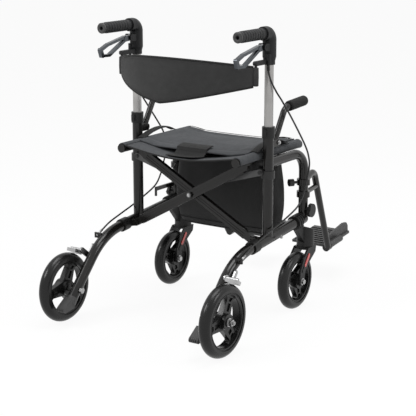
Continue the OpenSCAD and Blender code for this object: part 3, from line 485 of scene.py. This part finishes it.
def closed_grid(name, top, low, material, cloth_map=None):
    """A closed sheet between two grids of points, both rows by columns by 3."""
    top, low = np.array(top), np.array(low)
    rows, columns = top.shape[:2]
    count = rows * columns
    at = np.arange(count).reshape(rows, columns)
    faces = []
    for j in range(rows - 1):
        for i in range(columns - 1):
            a, b, c, d = at[j, i], at[j, i + 1], at[j + 1, i + 1], at[j + 1, i]
            faces.append((a, b, c, d))
            faces.append((a + count, d + count, c + count, b + count))
    edge = [*at[0, :], *at[1:, -1], *at[-1, -2::-1], *at[-2:0:-1, 0]]
    for a, b in zip(edge, edge[1:] + edge[:1]):
        faces.append((b, a, a + count, b + count))
    obj = new_piece(name, np.vstack([top.reshape(-1, 3), low.reshape(-1, 3)]), faces, material)
    if cloth_map is not None:
        flat = np.asarray(cloth_map).reshape(-1, 2)
        set_cloth_map(obj, np.vstack([flat, flat]))
    return face_outwards(obj)


def smooth_path(points, steps):
    """A smooth curve through the points, with a number of steps to each span."""
    p = np.asarray(points, float)
    found = []
    for i in range(len(p) - 1):
        a, b, c, d = p[max(i - 1, 0)], p[i], p[i + 1], p[min(i + 2, len(p) - 1)]
        for k in range(steps + (i == len(p) - 2)):
            t = k / steps
            bend = (2 * a - 5 * b + 4 * c - d) * t**2 + (3 * b - a - 3 * c + d) * t**3
            found.append(0.5 * (2 * b + (c - a) * t + bend))
    return np.array(found)


def ring_faces(rings, count, closed=False):
    """Faces between neighbouring rings of points, all with the same count."""
    faces = []
    for i in range(rings if closed else rings - 1):
        for k in range(count):
            m, q = (k + 1) % count, (i + 1) % rings
            faces.append((i * count + k, i * count + m, q * count + m, q * count + k))
    return faces


def tube(name, path, radius, material, count=12, closed=False, flat=1.0):
    """A round or flattened tube along a path, with its cloth map along and around it."""
    p = np.asarray(path, float)
    n = len(p)
    ahead = np.roll(p, -1, 0) - np.roll(p, 1, 0)
    if not closed:
        ahead[0], ahead[-1] = p[1] - p[0], p[-1] - p[-2]
    ahead /= np.linalg.norm(ahead, axis=1)[:, None]
    side = np.cross(ahead[0], (0.31, 0.17, 0.94))
    points, coordinates, run = [], [], 0.0
    for i in range(n):
        side = side - ahead[i] * (side @ ahead[i])
        side /= np.linalg.norm(side)
        up = np.cross(ahead[i], side)
        run += np.linalg.norm(p[i] - p[i - 1]) if i else 0.0
        for k in range(count):
            a = 2 * math.pi * k / count
            points.append(p[i] + radius * (side * math.cos(a) + up * math.sin(a) * flat))
            coordinates.append((run, radius * a))
    faces = ring_faces(n, count, closed)
    if not closed:
        faces += [tuple(range(count))[::-1], tuple(range((n - 1) * count, n * count))]
    obj = new_piece(name, points, faces, material)
    set_cloth_map(obj, coordinates)
    return face_outwards(obj)


def lathe(name, profile, centre, axis, material, count=48, closed_profile=False):
    """Turns a profile of (radius, height) about an axis through centre."""
    axis = Vector(axis).normalized()
    side = axis.orthogonal().normalized()
    up = axis.cross(side)
    points, faces, n = [], [], len(profile)
    for k in range(count):
        a = 2 * math.pi * k / count
        out = side * math.cos(a) + up * math.sin(a)
        points += [Vector(centre) + out * r + axis * h for r, h in profile]
    for k in range(count):
        m = (k + 1) % count
        for i in range(n if closed_profile else n - 1):
            j = (i + 1) % n
            faces.append((k * n + i, m * n + i, m * n + j, k * n + j))
    if not closed_profile:
        faces += [tuple(k * n for k in range(count))[::-1], tuple(k * n + n - 1 for k in range(count))]
    return face_outwards(new_piece(name, points, faces, material))


def inflate(obj, pinned, pressure, cap):
    """Puffs a closed piece with cloth pressure, holding pinned vertices and capping every move."""
    start = np.array([v.co for v in obj.data.vertices])
    group = obj.vertex_groups.new(name="sewn")
    for index, weight in enumerate(pinned):
        if weight > 0:
            group.add([index], float(weight), "REPLACE")
    cloth = obj.modifiers.new("puff", "CLOTH")
    settings = cloth.settings
    settings.quality = 6
    settings.mass = 0.25
    settings.use_pressure = True
    settings.uniform_pressure_force = pressure
    settings.vertex_group_mass = "sewn"
    settings.tension_stiffness = 18.0
    settings.compression_stiffness = 18.0
    settings.bending_stiffness = 1.2
    settings.effector_weights.gravity = 0.0
    cloth.point_cache.frame_start = 1
    cloth.point_cache.frame_end = 20
    for step in range(1, 21):
        scene.frame_set(step)
    done = obj.evaluated_get(bpy.context.evaluated_depsgraph_get())
    ends = np.array([v.co for v in done.data.vertices])
    obj.modifiers.remove(cloth)
    scene.frame_set(1)
    obj.vertex_groups.clear()
    move = ends - start
    length = np.maximum(np.linalg.norm(move, axis=1), 1e-9)
    start += move * np.minimum(1.0, cap / length)[:, None]
    obj.data.vertices.foreach_set("co", start.ravel())
    obj.data.update()


def refine(obj):
    """One level of subdivision, kept in the mesh."""
    step = obj.modifiers.new("refine", "SUBSURF")
    step.levels = step.render_levels = 1
    done = obj.evaluated_get(bpy.context.evaluated_depsgraph_get())
    mesh = bpy.data.meshes.new_from_object(done)
    obj.modifiers.remove(step)
    obj.data = mesh


# Repeated small parts, placed by geometry nodes


def new_scatter(name, extra):
    geometry = ("Geometry", "NodeSocketGeometry")
    return new_group(name, [(*geometry, None), *extra], [geometry], "GeometryNodeTree")


def finish_scatter(work, given, out, points, instance, rotation, scale):
    placed = work.node(
        "GeometryNodeInstanceOnPoints",
        {"Points": points, "Instance": instance, "Rotation": rotation, "Scale": scale},
    )
    solid = work.node("GeometryNodeRealizeInstances", {0: placed.outputs[0]})
    inputs = {"Geometry": solid.outputs[0], "Material": given["Material"]}
    dressed = work.node("GeometryNodeSetMaterial", inputs)
    work.feed(out["Geometry"], dressed.outputs[0])
    return work.tree


def make_bolt_tree():
    """A hexagon head on a washer at each point, along the point's axis and to its size."""
    work, given, out = new_scatter(
        "bolt_heads",
        [
            ("Material", "NodeSocketMaterial", None),
            ("Head Depth", number_socket, 0.7),
            ("Washer Radius", number_socket, 1.3),
        ],
    )
    washer_depth, head_foot = 0.24, 0.22
    inputs = {"Vertices": 28, "Radius": given["Washer Radius"], "Depth": washer_depth}
    washer = work.node("GeometryNodeMeshCylinder", inputs)
    low = work.node("ShaderNodeCombineXYZ", {2: washer_depth / 2}).outputs[0]
    washer = work.node("GeometryNodeTransform", {"Geometry": washer.outputs[0], "Translation": low})
    inputs = {"Vertices": 6, "Radius": 1.0, "Depth": given["Head Depth"]}
    head = work.node("GeometryNodeMeshCylinder", inputs)
    lift = work.math("ADD", work.math("MULTIPLY", given["Head Depth"], 0.5), head_foot)
    high = work.node("ShaderNodeCombineXYZ", {2: lift}).outputs[0]
    head = work.node("GeometryNodeTransform", {"Geometry": head.outputs[0], "Translation": high})
    whole = work.node("GeometryNodeJoinGeometry")
    work.tree.links.new(washer.outputs[0], whole.inputs[0])
    work.tree.links.new(head.outputs[0], whole.inputs[0])
    points = work.node("GeometryNodeMeshToPoints", {"Mesh": given["Geometry"]}).outputs[0]
    axis, size = (
        work.node("GeometryNodeInputNamedAttribute", {"Name": name}, data_type=kind).outputs[0]
        for name, kind in (("axis", "FLOAT_VECTOR"), ("size", "FLOAT"))
    )
    return finish_scatter(work, given, out, points, whole.outputs[0], work.aim(axis), size)


def make_stitch_tree():
    """Short threads end to end along the input's edges."""
    work, given, out = new_scatter(
        "stitches",
        [
            ("Material", "NodeSocketMaterial", None),
            ("Pitch", number_socket, 0.005),
            ("Thread Radius", number_socket, 0.0005),
        ],
    )
    curve = work.node("GeometryNodeMeshToCurve", {"Mesh": given["Geometry"]}).outputs[0]
    inputs = {"Curve": curve, "Length": given["Pitch"]}
    places = work.node("GeometryNodeCurveToPoints", inputs, mode="LENGTH").outputs
    length = work.math("MULTIPLY", given["Pitch"], 0.66)
    inputs = {"Vertices": 6, "Radius": given["Thread Radius"], "Depth": length}
    bit = work.node("GeometryNodeMeshCylinder", inputs).outputs[0]
    turn = work.aim(places["Tangent"])
    return finish_scatter(work, given, out, places[0], bit, turn, (1.0, 1.0, 1.0))


def scattered(name, mesh, tree, inputs):
    """The evaluated mesh of a scatter tree on the given points or edges."""
    source = add_object(name, mesh)
    step = source.modifiers.new("scatter", "NODES")
    step.node_group = tree
    for item in tree.interface.items_tree:
        if item.in_out == "INPUT" and item.name in inputs:
            step[item.identifier] = inputs[item.name]
    source.update_tag()
    done = source.evaluated_get(bpy.context.evaluated_depsgraph_get())
    made = bpy.data.meshes.new_from_object(done)
    source.modifiers.remove(step)
    source.data = made
    return source


def bolts(name, rows, material, depth=0.7):
    """Bolt heads at rows of (place, axis, half width across corners)."""
    mesh = bpy.data.meshes.new(name)
    mesh.from_pydata([row[0] for row in rows], [], [])
    axes = mesh.attributes.new("axis", "FLOAT_VECTOR", "POINT")
    axes.data.foreach_set("vector", np.array([row[1] for row in rows], float).ravel())
    sizes = mesh.attributes.new("size", "FLOAT", "POINT")
    sizes.data.foreach_set("value", np.array([row[2] for row in rows], float))
    return scattered(name, mesh, bolt_tree, {"Material": material, "Head Depth": depth})


def stitches(name, lines, material, pitch=0.005, radius=0.0005):
    """Rows of stitches along lines of points."""
    points, edges = [], []
    for line in lines:
        first = len(points)
        points += [tuple(p) for p in line]
        edges += [(k, k + 1) for k in range(first, len(points) - 1)]
    mesh = bpy.data.meshes.new(name)
    mesh.from_pydata(points, edges, [])
    inputs = {"Material": material, "Pitch": pitch, "Thread Radius": radius}
    return scattered(name, mesh, stitch_tree, inputs)


bolt_tree = make_bolt_tree()
stitch_tree = make_stitch_tree()


# Seat: a sling wrapped over both seat rails, with a padded cushion, a pull flap and webbing loops

wrap_angle = math.radians(145)
cloth_gap = 0.00055
wrap_r = rail_r + cloth_gap
wrap_in = rail_x + wrap_r * math.cos(wrap_angle)
seam_lines = (-0.121, 0.072)
sag_ends, sag_middle = 0.020, 0.009


def sling_height(x, y):
    """Underside of the sling between the rails."""
    a = np.minimum(np.abs(x) / wrap_in, 1.0)
    b = np.clip((y - sling_low.y) / (sling_high.y - sling_low.y), 0, 1)
    deep = sag_ends + sag_middle * np.sin(math.pi * b)
    sag = deep * (1 - a**2.2) * (0.6 + 0.4 * np.cos(math.pi / 2 * a))
    return rail_z + wrap_r * math.sin(wrap_angle) - sag


def spans_seat(obj):
    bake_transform(obj)


def make_sling():
    thick = 0.0030
    columns = np.linspace(-wrap_in, wrap_in, 61)
    turns = np.radians(np.linspace(138, -20, 24))
    rows = np.linspace(sling_low.y, sling_high.y, 49)
    inner, outer = (
        [(-rail_x - r * math.cos(a), rail_z + r * math.sin(a)) for a in turns[::-1]]
        for r in (wrap_r, wrap_r + thick)
    )
    top, low, flat = [], [], []
    for y in rows:
        ripple = 0.0007 * noise.noise(Vector((1.7, y * 21, 0.3)))
        between = [(x, float(sling_height(x, y)) + ripple * (1 - abs(x) / wrap_in)) for x in columns]
        over = [(x, z + thick) for x, z in between]
        line = inner + between + [(-x, z) for x, z in inner[::-1]]
        cover = outer + over + [(-x, z) for x, z in outer[::-1]]
        low.append([(x, y, z) for x, z in line])
        top.append([(x, y, z) for x, z in cover])
        run = np.concatenate([[0], np.cumsum(np.linalg.norm(np.diff(np.array(line), axis=0), axis=1))])
        flat.append([(r, y) for r in run])
    obj = closed_grid("seat_cloth", top, low, seat_cloth, flat)
    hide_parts("seat_sling")
    spans_seat(obj)


def cushion_height(x, y):
    """Top of the cushion: full to the edges, drawn down along the sewn lines."""
    edge, crown, shoulder = 0.0045, 0.0070, 0.0085
    seam_width, seam_depth = 0.005, 0.45
    half_x, mid_y = pad_high.x, (pad_low.y + pad_high.y) / 2
    half_y = (pad_high.y - pad_low.y) / 2
    u = np.clip(np.abs(x) / half_x, 0, 1)
    v = np.clip(np.abs(y - mid_y) / half_y, 0, 1)
    full = (1 - u**14) * (1 - v**6)
    drawn = sum(np.exp(-(((y - line) / seam_width) ** 2)) for line in seam_lines)
    return edge + (crown + shoulder * u**2) * full * (1 - seam_depth * np.minimum(drawn, 1))


def pad_base(x, y):
    """Underside of the cushion, on the sling and over the rails."""
    sling_top = 0.0034
    over = np.maximum((wrap_r + sling_top) ** 2 - (np.abs(x) - rail_x) ** 2, 0)
    return np.maximum(sling_height(x, y) + sling_top, rail_z + np.sqrt(over))


def make_cushion():
    columns = np.linspace(pad_low.x, pad_high.x, 75)
    rows = np.linspace(pad_low.y, pad_high.y, 55)
    x, y = np.meshgrid(columns, rows)
    base = pad_base(x, y)
    low = np.dstack([x, y, base])
    top = np.dstack([x, y, base + cushion_height(x, y)])
    obj = closed_grid("seat_cushion", top, low, seat_cloth, np.dstack([x, y]))
    held = np.zeros((2, *x.shape))
    held[1] = 1.0
    for line in seam_lines:
        held[0][np.abs(y - line) < 0.003] = 1.0
    held[:, (0, -1), :] = 1.0
    held[:, :, (0, -1)] = 1.0
    inflate(obj, held.ravel(), 4.0, 0.0035)
    refine(obj)
    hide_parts("seat_pad")
    spans_seat(obj)


def on_cushion(x, y, lift=0.0):
    return np.array([x, y, float(pad_base(x, y) + cushion_height(x, y)) + lift])


def make_seat_trim():
    """Bound edges of the sling, seams across the cushion and the facing along its front."""
    binding_lift, binding_r, seam_lift, seam_end = 0.0015, 0.0024, 0.0004, 0.012
    facing_rear, facing_front, facing_thick = 0.024, 0.006, 0.0012
    for name, y in (("seat_front_binding", sling_high.y), ("seat_rear_binding", sling_low.y)):
        across = np.linspace(-wrap_in, wrap_in, 60)
        line = [(x, y, float(sling_height(x, y)) + binding_lift) for x in across]
        obj = tube(name, line, binding_r, webbing, 10)
        spans_seat(obj)
    across = np.linspace(pad_low.x + seam_end, pad_high.x - seam_end, 70)
    rows = [[on_cushion(x, line, seam_lift) for x in across] for line in seam_lines]
    obj = stitches("seat_stitches", rows, thread)
    spans_seat(obj)
    hem = np.linspace(pad_high.y - facing_rear, pad_high.y - facing_front, 9)
    columns = np.linspace(pad_low.x + facing_front, pad_high.x - facing_front, 75)
    lift = 0.0006 + 0.0022 * (1 - (columns / pad_high.x) ** 8)
    low = np.array([[on_cushion(x, y, up) for x, up in zip(columns, lift)] for y in hem])
    flat = [[(x, y) for x in columns] for y in hem]
    obj = closed_grid("seat_front_facing", low + (0, 0, facing_thick), low, seat_edge_cloth, flat)
    spans_seat(obj)


def make_pull_flap():
    """The strap in the middle of the seat that folds the chair when it is pulled."""
    half, rear, front = 0.051, sling_low.y + 0.014, pad_low.y + 0.034
    columns = np.linspace(-half, half, 25)
    rows = np.linspace(rear, front, 41)
    reach = 13
    ground = np.zeros((len(rows), len(columns)))
    for j, y in enumerate(rows):
        for i, x in enumerate(columns):
            bare = float(sling_height(x, y)) + 0.0036
            ground[j, i] = bare if y < pad_low.y else on_cushion(x, y, 0.0032)[2]
    padded = np.vstack([ground[:1]] * (reach // 2) + [ground] + [ground[-1:]] * (reach // 2))
    eased = sum(padded[k : k + len(rows)] for k in range(reach)) / reach
    curl = 0.0035 * np.linspace(1, 0, len(rows))[:, None] ** 3 * (0.6 + 0.4 * columns[None, :] / half)
    z = np.maximum(ground, eased + 0.001) + 0.0005 + curl
    x, y = np.meshgrid(columns, rows)
    top, low = np.dstack([x, y, z + 0.0022]), np.dstack([x, y, z])
    obj = closed_grid("seat_pull_flap", top, low, webbing, np.dstack([x, y]))
    spans_seat(obj)


def make_webbing_loops():
    """Loops of webbing along the seat rails, drawn as (place along the rail, rise over the cloth)."""
    arch = [
        (-0.127, 0.0), (-0.108, 0.006), (-0.078, 0.014), (-0.034, 0.019), (0.004, 0.014), (0.028, 0.005),
        (0.042, 0.0),
    ]
    half, thick = 0.0125, 0.0022
    crown = rail_z + rail_r + 0.0042
    for side, s in sides.items():
        body = "bar_a_body" if s > 0 else "bar_b_body"
        line = smooth_path([(s * rail_x, y, crown + rise) for y, rise in arch], 10)
        top, low, flat, run = [], [], [], 0.0
        for i, p in enumerate(line):
            run += np.linalg.norm(p - line[i - 1]) if i else 0.0
            across = np.linspace(-half, half, 7)
            curl = [-(a / half) ** 2 * 0.002 for a in across]
            low.append([(p[0] + a, p[1], p[2] + c) for a, c in zip(across, curl)])
            top.append([(p[0] + a, p[1], p[2] + c + thick) for a, c in zip(across, curl)])
            flat.append([(run, a) for a in across])
        obj = closed_grid(f"{side}_webbing_loop", top, low, webbing, flat)
        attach(obj, body)


# Backrest: a padded band that hangs from the rear arms of the two handles

back_end_y = band_high.y - 0.0085
back_mid_y = band_low.y + 0.006
back_ends = 0.98


def back_line(s, out):
    """Plan of the band, from -1 at the left pin to 1 at the right pin, moved outwards."""
    bow = back_end_y - back_mid_y
    run = np.hypot(tube_x, 2 * bow * s)
    x = tube_x * s + out * 2 * bow * s / run
    return x, back_mid_y + bow * s**2 - out * tube_x / run


def back_edges(s):
    """Heights of the band's lower and upper edges."""
    low_rise, top_drop = 0.046, 0.025
    return band_low.z + low_rise * np.abs(s) ** 1.15, band_high.z - top_drop * s**2


def band_point(s, v, out):
    """Point of the band at a share along it and a height from -1 to 1."""
    x, y = back_line(s, out)
    low, high = back_edges(s)
    return np.array([x, y, (low + high) / 2 + v * (high - low) / 2])


def make_backrest():
    along = np.linspace(-back_ends, back_ends, 141)
    levels = np.linspace(-1, 1, 27)
    lead = np.concatenate([[0], np.cumsum(np.hypot(*np.diff(np.array(back_line(along, 0)), axis=1)))])
    skin, binding_r, seam_level, seam_out = 0.0042, 0.0034, 0.86, 0.0032
    top, low, flat = [], [], []
    for v in levels:
        fat = skin * (0.4 + 0.6 * (1 - abs(v) ** 6))
        top.append([band_point(s, v, fat) for s in along])
        low.append([band_point(s, v, -fat) for s in along])
        flat.append([(r, band_point(s, v, 0)[2]) for r, s in zip(lead, along)])
    obj = closed_grid("backrest_padding", top, low, back_cloth, flat)
    held = np.zeros((2, len(levels), len(along)))
    held[:, (0, 1, -2, -1), :] = 1.0
    held[:, :, :3] = 1.0
    held[:, :, -3:] = 1.0
    inflate(obj, held.ravel(), 4.0, 0.003)
    refine(obj)
    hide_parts("backrest_band")
    hold_back(obj)
    for name, v in (("backrest_top_binding", 1.0), ("backrest_low_binding", -1.0)):
        obj = tube(name, [band_point(s, v * 0.995, 0.0) for s in along], binding_r, webbing, 12)
        hold_back(obj)
    seams = []
    for v in (seam_level, -seam_level):
        for out in (seam_out, -seam_out):
            seams.append([band_point(s, v, out) for s in along[6:-6]])
    obj = stitches("backrest_stitches", seams, thread, 0.0045, 0.0004)
    hold_back(obj)


def hold_back(obj):
    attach(obj, "right_handle_body")
    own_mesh(obj)


def make_sleeves():
    """Cloth sleeves that hold the band's ends on the pins of the handles."""
    low_z, high_z = back_edges(np.float64(1.0))
    length = high_z - low_z - 0.001
    wall, hollow, ease, hem, belly = 0.0080, 0.0046, 0.0012, 0.0014, 0.0006
    profile = [
        (hollow, 0.0), (wall - ease, 0.0), (wall, hem), (wall + belly, length * 0.5),
        (wall, length - hem), (wall - ease, length), (hollow, length),
    ]
    for side, s in sides.items():
        foot = (s * tube_x, back_end_y, low_z + 0.0005)
        obj = lathe(f"{side}_back_sleeve", profile, foot, (0, 0, 1), back_cloth, 32, closed_profile=True)
        set_cloth_map(obj, [(v.co.y + v.co.x, v.co.z) for v in obj.data.vertices])
        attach(obj, f"{side}_handle_body")


# Bag under the seat

bag_mid_y = 0.052
bag_foot_z, bag_height = 0.222, 0.232
bag_floor_z, bag_top_z = 0.2235, 0.4515


def bag_ring(t, a, out=0.0):
    """Point of the bag's wall at a height from 0 to 1 and an angle round it."""
    foot_x, belly_x, flare_x = 0.160, 0.015, 0.006
    foot_y, belly_y, roundness = 0.030, 0.012, 0.42
    half_x = foot_x + belly_x * math.sin(math.pi * t**0.8) + flare_x * t + out
    half_y = foot_y + belly_y * math.sin(math.pi * t**0.55) + out
    c, s = math.cos(a), math.sin(a)
    x = half_x * math.copysign(abs(c) ** roundness, c)
    y = bag_mid_y + half_y * math.copysign(abs(s) ** roundness, s)
    return x, y, bag_foot_z + bag_height * t


def make_bag():
    around = np.linspace(0, 2 * math.pi, 241)[:-1]
    levels = np.concatenate([[0.0, 0.012, 0.03], np.linspace(0.06, 0.97, 46), [0.99, 1.0]])
    fold_depth, fine_depth, foot_pull, mouth_pull = 0.0035, 0.0012, 0.03, 0.012
    points, coordinates = [], []
    for t in levels:
        swell = math.sin(math.pi * t)
        pull = 1 - min(1.0, min(t / foot_pull, (1 - t) / mouth_pull))
        run, before = 0.0, None
        for a in around:
            x, y, z = bag_ring(t, a, -0.004 * pull**2)
            fold = fold_depth * swell * noise.noise(Vector((x * 17 + 4, (y > bag_mid_y) * 5.3, z * 4.5)))
            fine = fine_depth * swell * noise.noise(Vector((x * 55, y * 30 + 9, z * 24)))
            y += math.copysign(1.0, y - bag_mid_y) * (fold + fine)
            if before is not None:
                run += math.hypot(x - before[0], y - before[1])
            before = (x, y)
            points.append((x, y, z))
            coordinates.append((run, z))
    n, m = len(levels), len(around)
    faces = ring_faces(n, m)
    for j, z in ((0, bag_floor_z), (n - 1, bag_top_z)):
        centre = len(points)
        points.append((0.0, bag_mid_y, z))
        coordinates.append((0.0, 0.0))
        faces += [(centre, j * m + k, j * m + (k + 1) % m) for k in range(m)]
    obj = new_piece("bag_body", points, faces, bag_cloth)
    set_cloth_map(obj, coordinates)
    face_outwards(obj)
    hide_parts("storage_bag")
    hold_bag(obj)
    rings = {"bag_hem": 0.006, "bag_hem_top": 0.075, "bag_mouth": 0.985}
    for name, t in rings.items():
        line = [bag_ring(t, a, 0.0012 if name != "bag_hem" else -0.0014) for a in around[::2]]
        obj = tube(name, line, 0.0022 if name != "bag_hem_top" else 0.0011, webbing, 8, closed=True)
        hold_bag(obj)


def hold_bag(obj):
    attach(obj, "right_frame")
    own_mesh(obj)


def make_bag_tabs():
    """Cloth loops that hang the bag on the upper tubes."""
    inset, half, top_z, low_z = 0.0395, 0.0255, 0.4605, 0.4492
    rows = np.linspace(0.024, 0.050, 9)
    columns = np.linspace(-half, half, 25)
    for side, s in sides.items():
        x = s * (tube_x - inset)
        top = [[(x + c, y, top_z + 0.0006 * math.cos(90 * y)) for c in columns] for y in rows]
        low = [[(x + c, y, low_z) for c in columns] for y in rows]
        flat = [[(c, y) for c in columns] for y in rows]
        obj = closed_grid(f"{side}_bag_tab", top, low, bag_cloth, flat)
        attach(obj, f"{side}_frame")


# Foam, cables and small fittings


def make_foam():
    """Foam grips on the armrests, round at both ends and a little uneven."""
    for side, s in sides.items():
        low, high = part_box(f"{side}_arm_foam")
        r = (high.x - low.x) / 2
        rear = Vector((s * tube_x, low.y + 0.001, low.z + r))
        front = Vector((s * tube_x, high.y - 0.0005, high.z - r))
        length = (front - rear).length
        turns = np.linspace(0, math.pi / 2, 8)
        soft, dome = 0.0035, 0.007
        profile = [(r - 0.006, 0.0)]
        profile += [(r - soft + soft * math.sin(a), soft - soft * math.cos(a)) for a in turns]
        profile += [(r, soft + (length - soft - dome) * k / 24) for k in range(1, 24)]
        profile += [(r - dome + dome * math.cos(a), length - dome + dome * math.sin(a)) for a in turns]
        profile += [(0.002, length)]
        obj = lathe(f"{side}_foam_grip", profile, rear, front - rear, arm_foam, 56)
        axis = (front - rear).normalized()
        for v in obj.data.vertices:
            out = v.co - rear
            out -= axis * out.dot(axis)
            v.co -= out * 0.03 * (0.5 + 0.5 * noise.noise(v.co * 60))
        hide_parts(f"{side}_arm_foam")
        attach(obj, f"{side}_armrest_body")


# Right brake cable from the handle to the stop on the rear leg; the left one is its mirror image
cable_route = [
    (0.2340, -0.121, 0.746), (0.2346, -0.122, 0.726), (0.240, -0.117, 0.698), (0.247, -0.098, 0.665),
    (0.250, -0.072, 0.637), (0.252, -0.017, 0.578), (0.252, 0.056, 0.495), (0.253, 0.078, 0.455),
    (0.253, 0.081, 0.425), (0.253, 0.066, 0.386), (0.253, 0.050, 0.352), (0.252, 0.020, 0.322),
    (0.250, -0.042, 0.300), (0.248, -0.102, 0.284), (0.247, -0.160, 0.270), (0.246, -0.215, 0.256),
    (0.246, -0.252, 0.240), (0.246, -0.2735, 0.2305),
]
cable_r = 0.0025


def make_cables():
    for side, s in sides.items():
        path = smooth_path([(s * x, y, z) for x, y, z in cable_route], 8)
        obj = tube(f"{side}_cable", path, cable_r, cable_jacket, 14)
        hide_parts(f"{side}_brake_cable")
        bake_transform(obj)
        ends = {
            f"{side}_cable_boot": (path[:9:4], 0.0042, f"{side}_handle_body", black_moulding),
            f"{side}_cable_ferrule": (path[-9::4], 0.0036, f"{side}_frame", zinc_plate),
        }
        for name, (line, radius, body, material) in ends.items():
            cap = tube(name, line, radius, material, 16)
            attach(cap, body)


def plate(name, outline, x_low, x_high, material, edge=0.0006):
    """A flat piece with eased edges, drawn as (y, z) and standing along X."""
    ring = np.asarray(outline, float)
    mid = ring.mean(axis=0)
    inner = ring + (mid - ring) / np.linalg.norm(mid - ring, axis=1)[:, None] * edge
    levels = [(x_low, inner), (x_low + edge, ring), (x_high - edge, ring), (x_high, inner)]
    points = [(x, y, z) for x, line in levels for y, z in line]
    m = len(ring)
    faces = ring_faces(len(levels), m)
    faces += [tuple(range(m)), tuple(range(3 * m, 4 * m))[::-1]]
    return face_outwards(new_piece(name, points, faces, material, smooth=False))


def strip(a, b, width, steps=12):
    """Outline of a straight strip with round ends, as (y, z)."""
    a, b = np.array(a), np.array(b)
    lead = math.atan2(*(b - a)[::-1])
    turns = np.linspace(-math.pi / 2, math.pi / 2, steps)
    far = [b + width / 2 * np.array([math.cos(lead + u), math.sin(lead + u)]) for u in turns]
    near = [a - width / 2 * np.array([math.cos(lead + u), math.sin(lead + u)]) for u in turns]
    return far + near


def make_caster_fittings():
    """Red reflectors and axle nuts on the caster forks."""
    arm, reflector_width, reflector_thick, nut_r = 0.0252, 0.0094, 0.0019, 0.0080
    for side, at in caster_at.items():
        body = f"{side}_fork_body"
        outline = strip((at.y + 0.016, at.z + 0.0456), (at.y + 0.037, at.z + 0.073), reflector_width)
        for name, x in (("outer", at.x + arm), ("inner", at.x - arm - reflector_thick)):
            obj = plate(f"{side}_reflector_{name}", outline, x, x + reflector_thick, red_reflector)
            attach(obj, body)
        rows = [((at.x + k * arm, at.y, at.z), (k, 0, 0), nut_r) for k in (-1.0, 1.0)]
        obj = bolts(f"{side}_caster_nuts", rows, zinc_plate)
        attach(obj, body)


def make_frame_bolts():
    """Bolt heads at the armrest hinges and the fixed joints of each side frame."""
    hinge_out, hinge_r, hinge_bolt_r = 0.0146, 0.011, 0.0048
    sink, rail_bolt_r = 0.0008, 0.0042
    for side, s in sides.items():
        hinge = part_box(f"{side}_armrest")[0]
        rail = middle(f"{side}_lower_rail")
        reach = size_of(f"{side}_lower_rail").x / 2
        y, z = rail.y - 0.028, rail.z - 0.0025
        rows = [
            ((s * (tube_x + hinge_out), hinge.y + hinge_r, hinge.z + hinge_r), (s, 0, 0), hinge_bolt_r),
            ((s * (tube_x + reach - sink), y, z), (s, 0, 0), rail_bolt_r),
            ((s * (tube_x - reach + sink), y, z), (-s, 0, 0), rail_bolt_r),
        ]
        obj = bolts(f"{side}_frame_bolts", rows, zinc_plate)
        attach(obj, f"{side}_frame")


def make_brace_fittings():
    """Rounded rear edges of the cross bars, and the small nut on their pivot bolt."""
    tilt = math.radians(29)
    along = np.array([math.cos(tilt), math.sin(tilt)])
    up = np.array([-math.sin(tilt), math.cos(tilt)])
    pivot = middle("cross_pivot_bolt")
    bead, half, sink, nut_r, nut_depth = 0.002, 0.0116, 0.0018, 0.0040, 0.5
    foot_end, rail_end = -0.199, 0.197
    rear_faces = {"cross_bar_a": (1, -0.158, "bar_a_body"), "cross_bar_b": (-1, -0.140, "bar_b_body")}
    for bar, (way, face, body) in rear_faces.items():
        for edge, n in (("upper", half), ("lower", -half)):
            line = []
            for t in np.linspace(foot_end, rail_end, 12):
                x, z = along * t + up * n
                line.append((way * x, face + sink, pivot.z + z))
            obj = tube(f"{bar}_{edge}_edge", line, bead, frame_paint, 12)
            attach(obj, body)
    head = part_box("cross_pivot_bolt")[0].y
    place = (0, head + 0.0002, pivot.z)
    obj = bolts("cross_pivot_nut", [(place, (0, -1, 0), nut_r)], zinc_plate, nut_depth)
    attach(obj, "bar_a_body")
    frame["nodes"]["cross_pivot_bolt"].data.materials[0] = link_plate


def make_handle_fittings():
    """Pale ring at the end of each grip, and the wire ring at the foot of each handle."""
    grip_drop, hollow, ring_r, ring_depth, wire_r = 0.019, 0.0060, 0.0150, 0.0052, 0.0009
    profile = [
        (hollow, 0.0010), (0.0072, 0.0), (0.0138, 0.0), (ring_r, 0.0014), (ring_r, ring_depth),
        (hollow, ring_depth),
    ]
    wire = [
        (-0.002, 0.014), (0.005, 0.0145), (0.0085, 0.010), (0.008, 0.003), (0.003, -0.001), (-0.002, -0.0015),
    ]
    front, z = tube_y + 0.0175, band_high.z - 0.018
    for side, s in sides.items():
        low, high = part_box(f"{side}_handle")
        end = (s * tube_x, low.y - 0.0012, high.z - grip_drop)
        obj = lathe(f"{side}_grip_ring", profile, end, (0, 1, 0), end_ring, 48, closed_profile=True)
        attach(obj, f"{side}_handle_body")
        line = smooth_path([(s * tube_x, front + y, z + up) for y, up in wire], 6)
        obj = tube(f"{side}_wire_ring", line, wire_r, cable_jacket, 10)
        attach(obj, f"{side}_handle_body")


make_camera()
make_studio()
paint_frame()
make_sling()
make_cushion()
make_seat_trim()
make_pull_flap()
make_webbing_loops()
make_backrest()
make_sleeves()
make_bag()
make_bag_tabs()
make_foam()
make_cables()
make_caster_fittings()
make_frame_bolts()
make_brace_fittings()
make_handle_fittings()
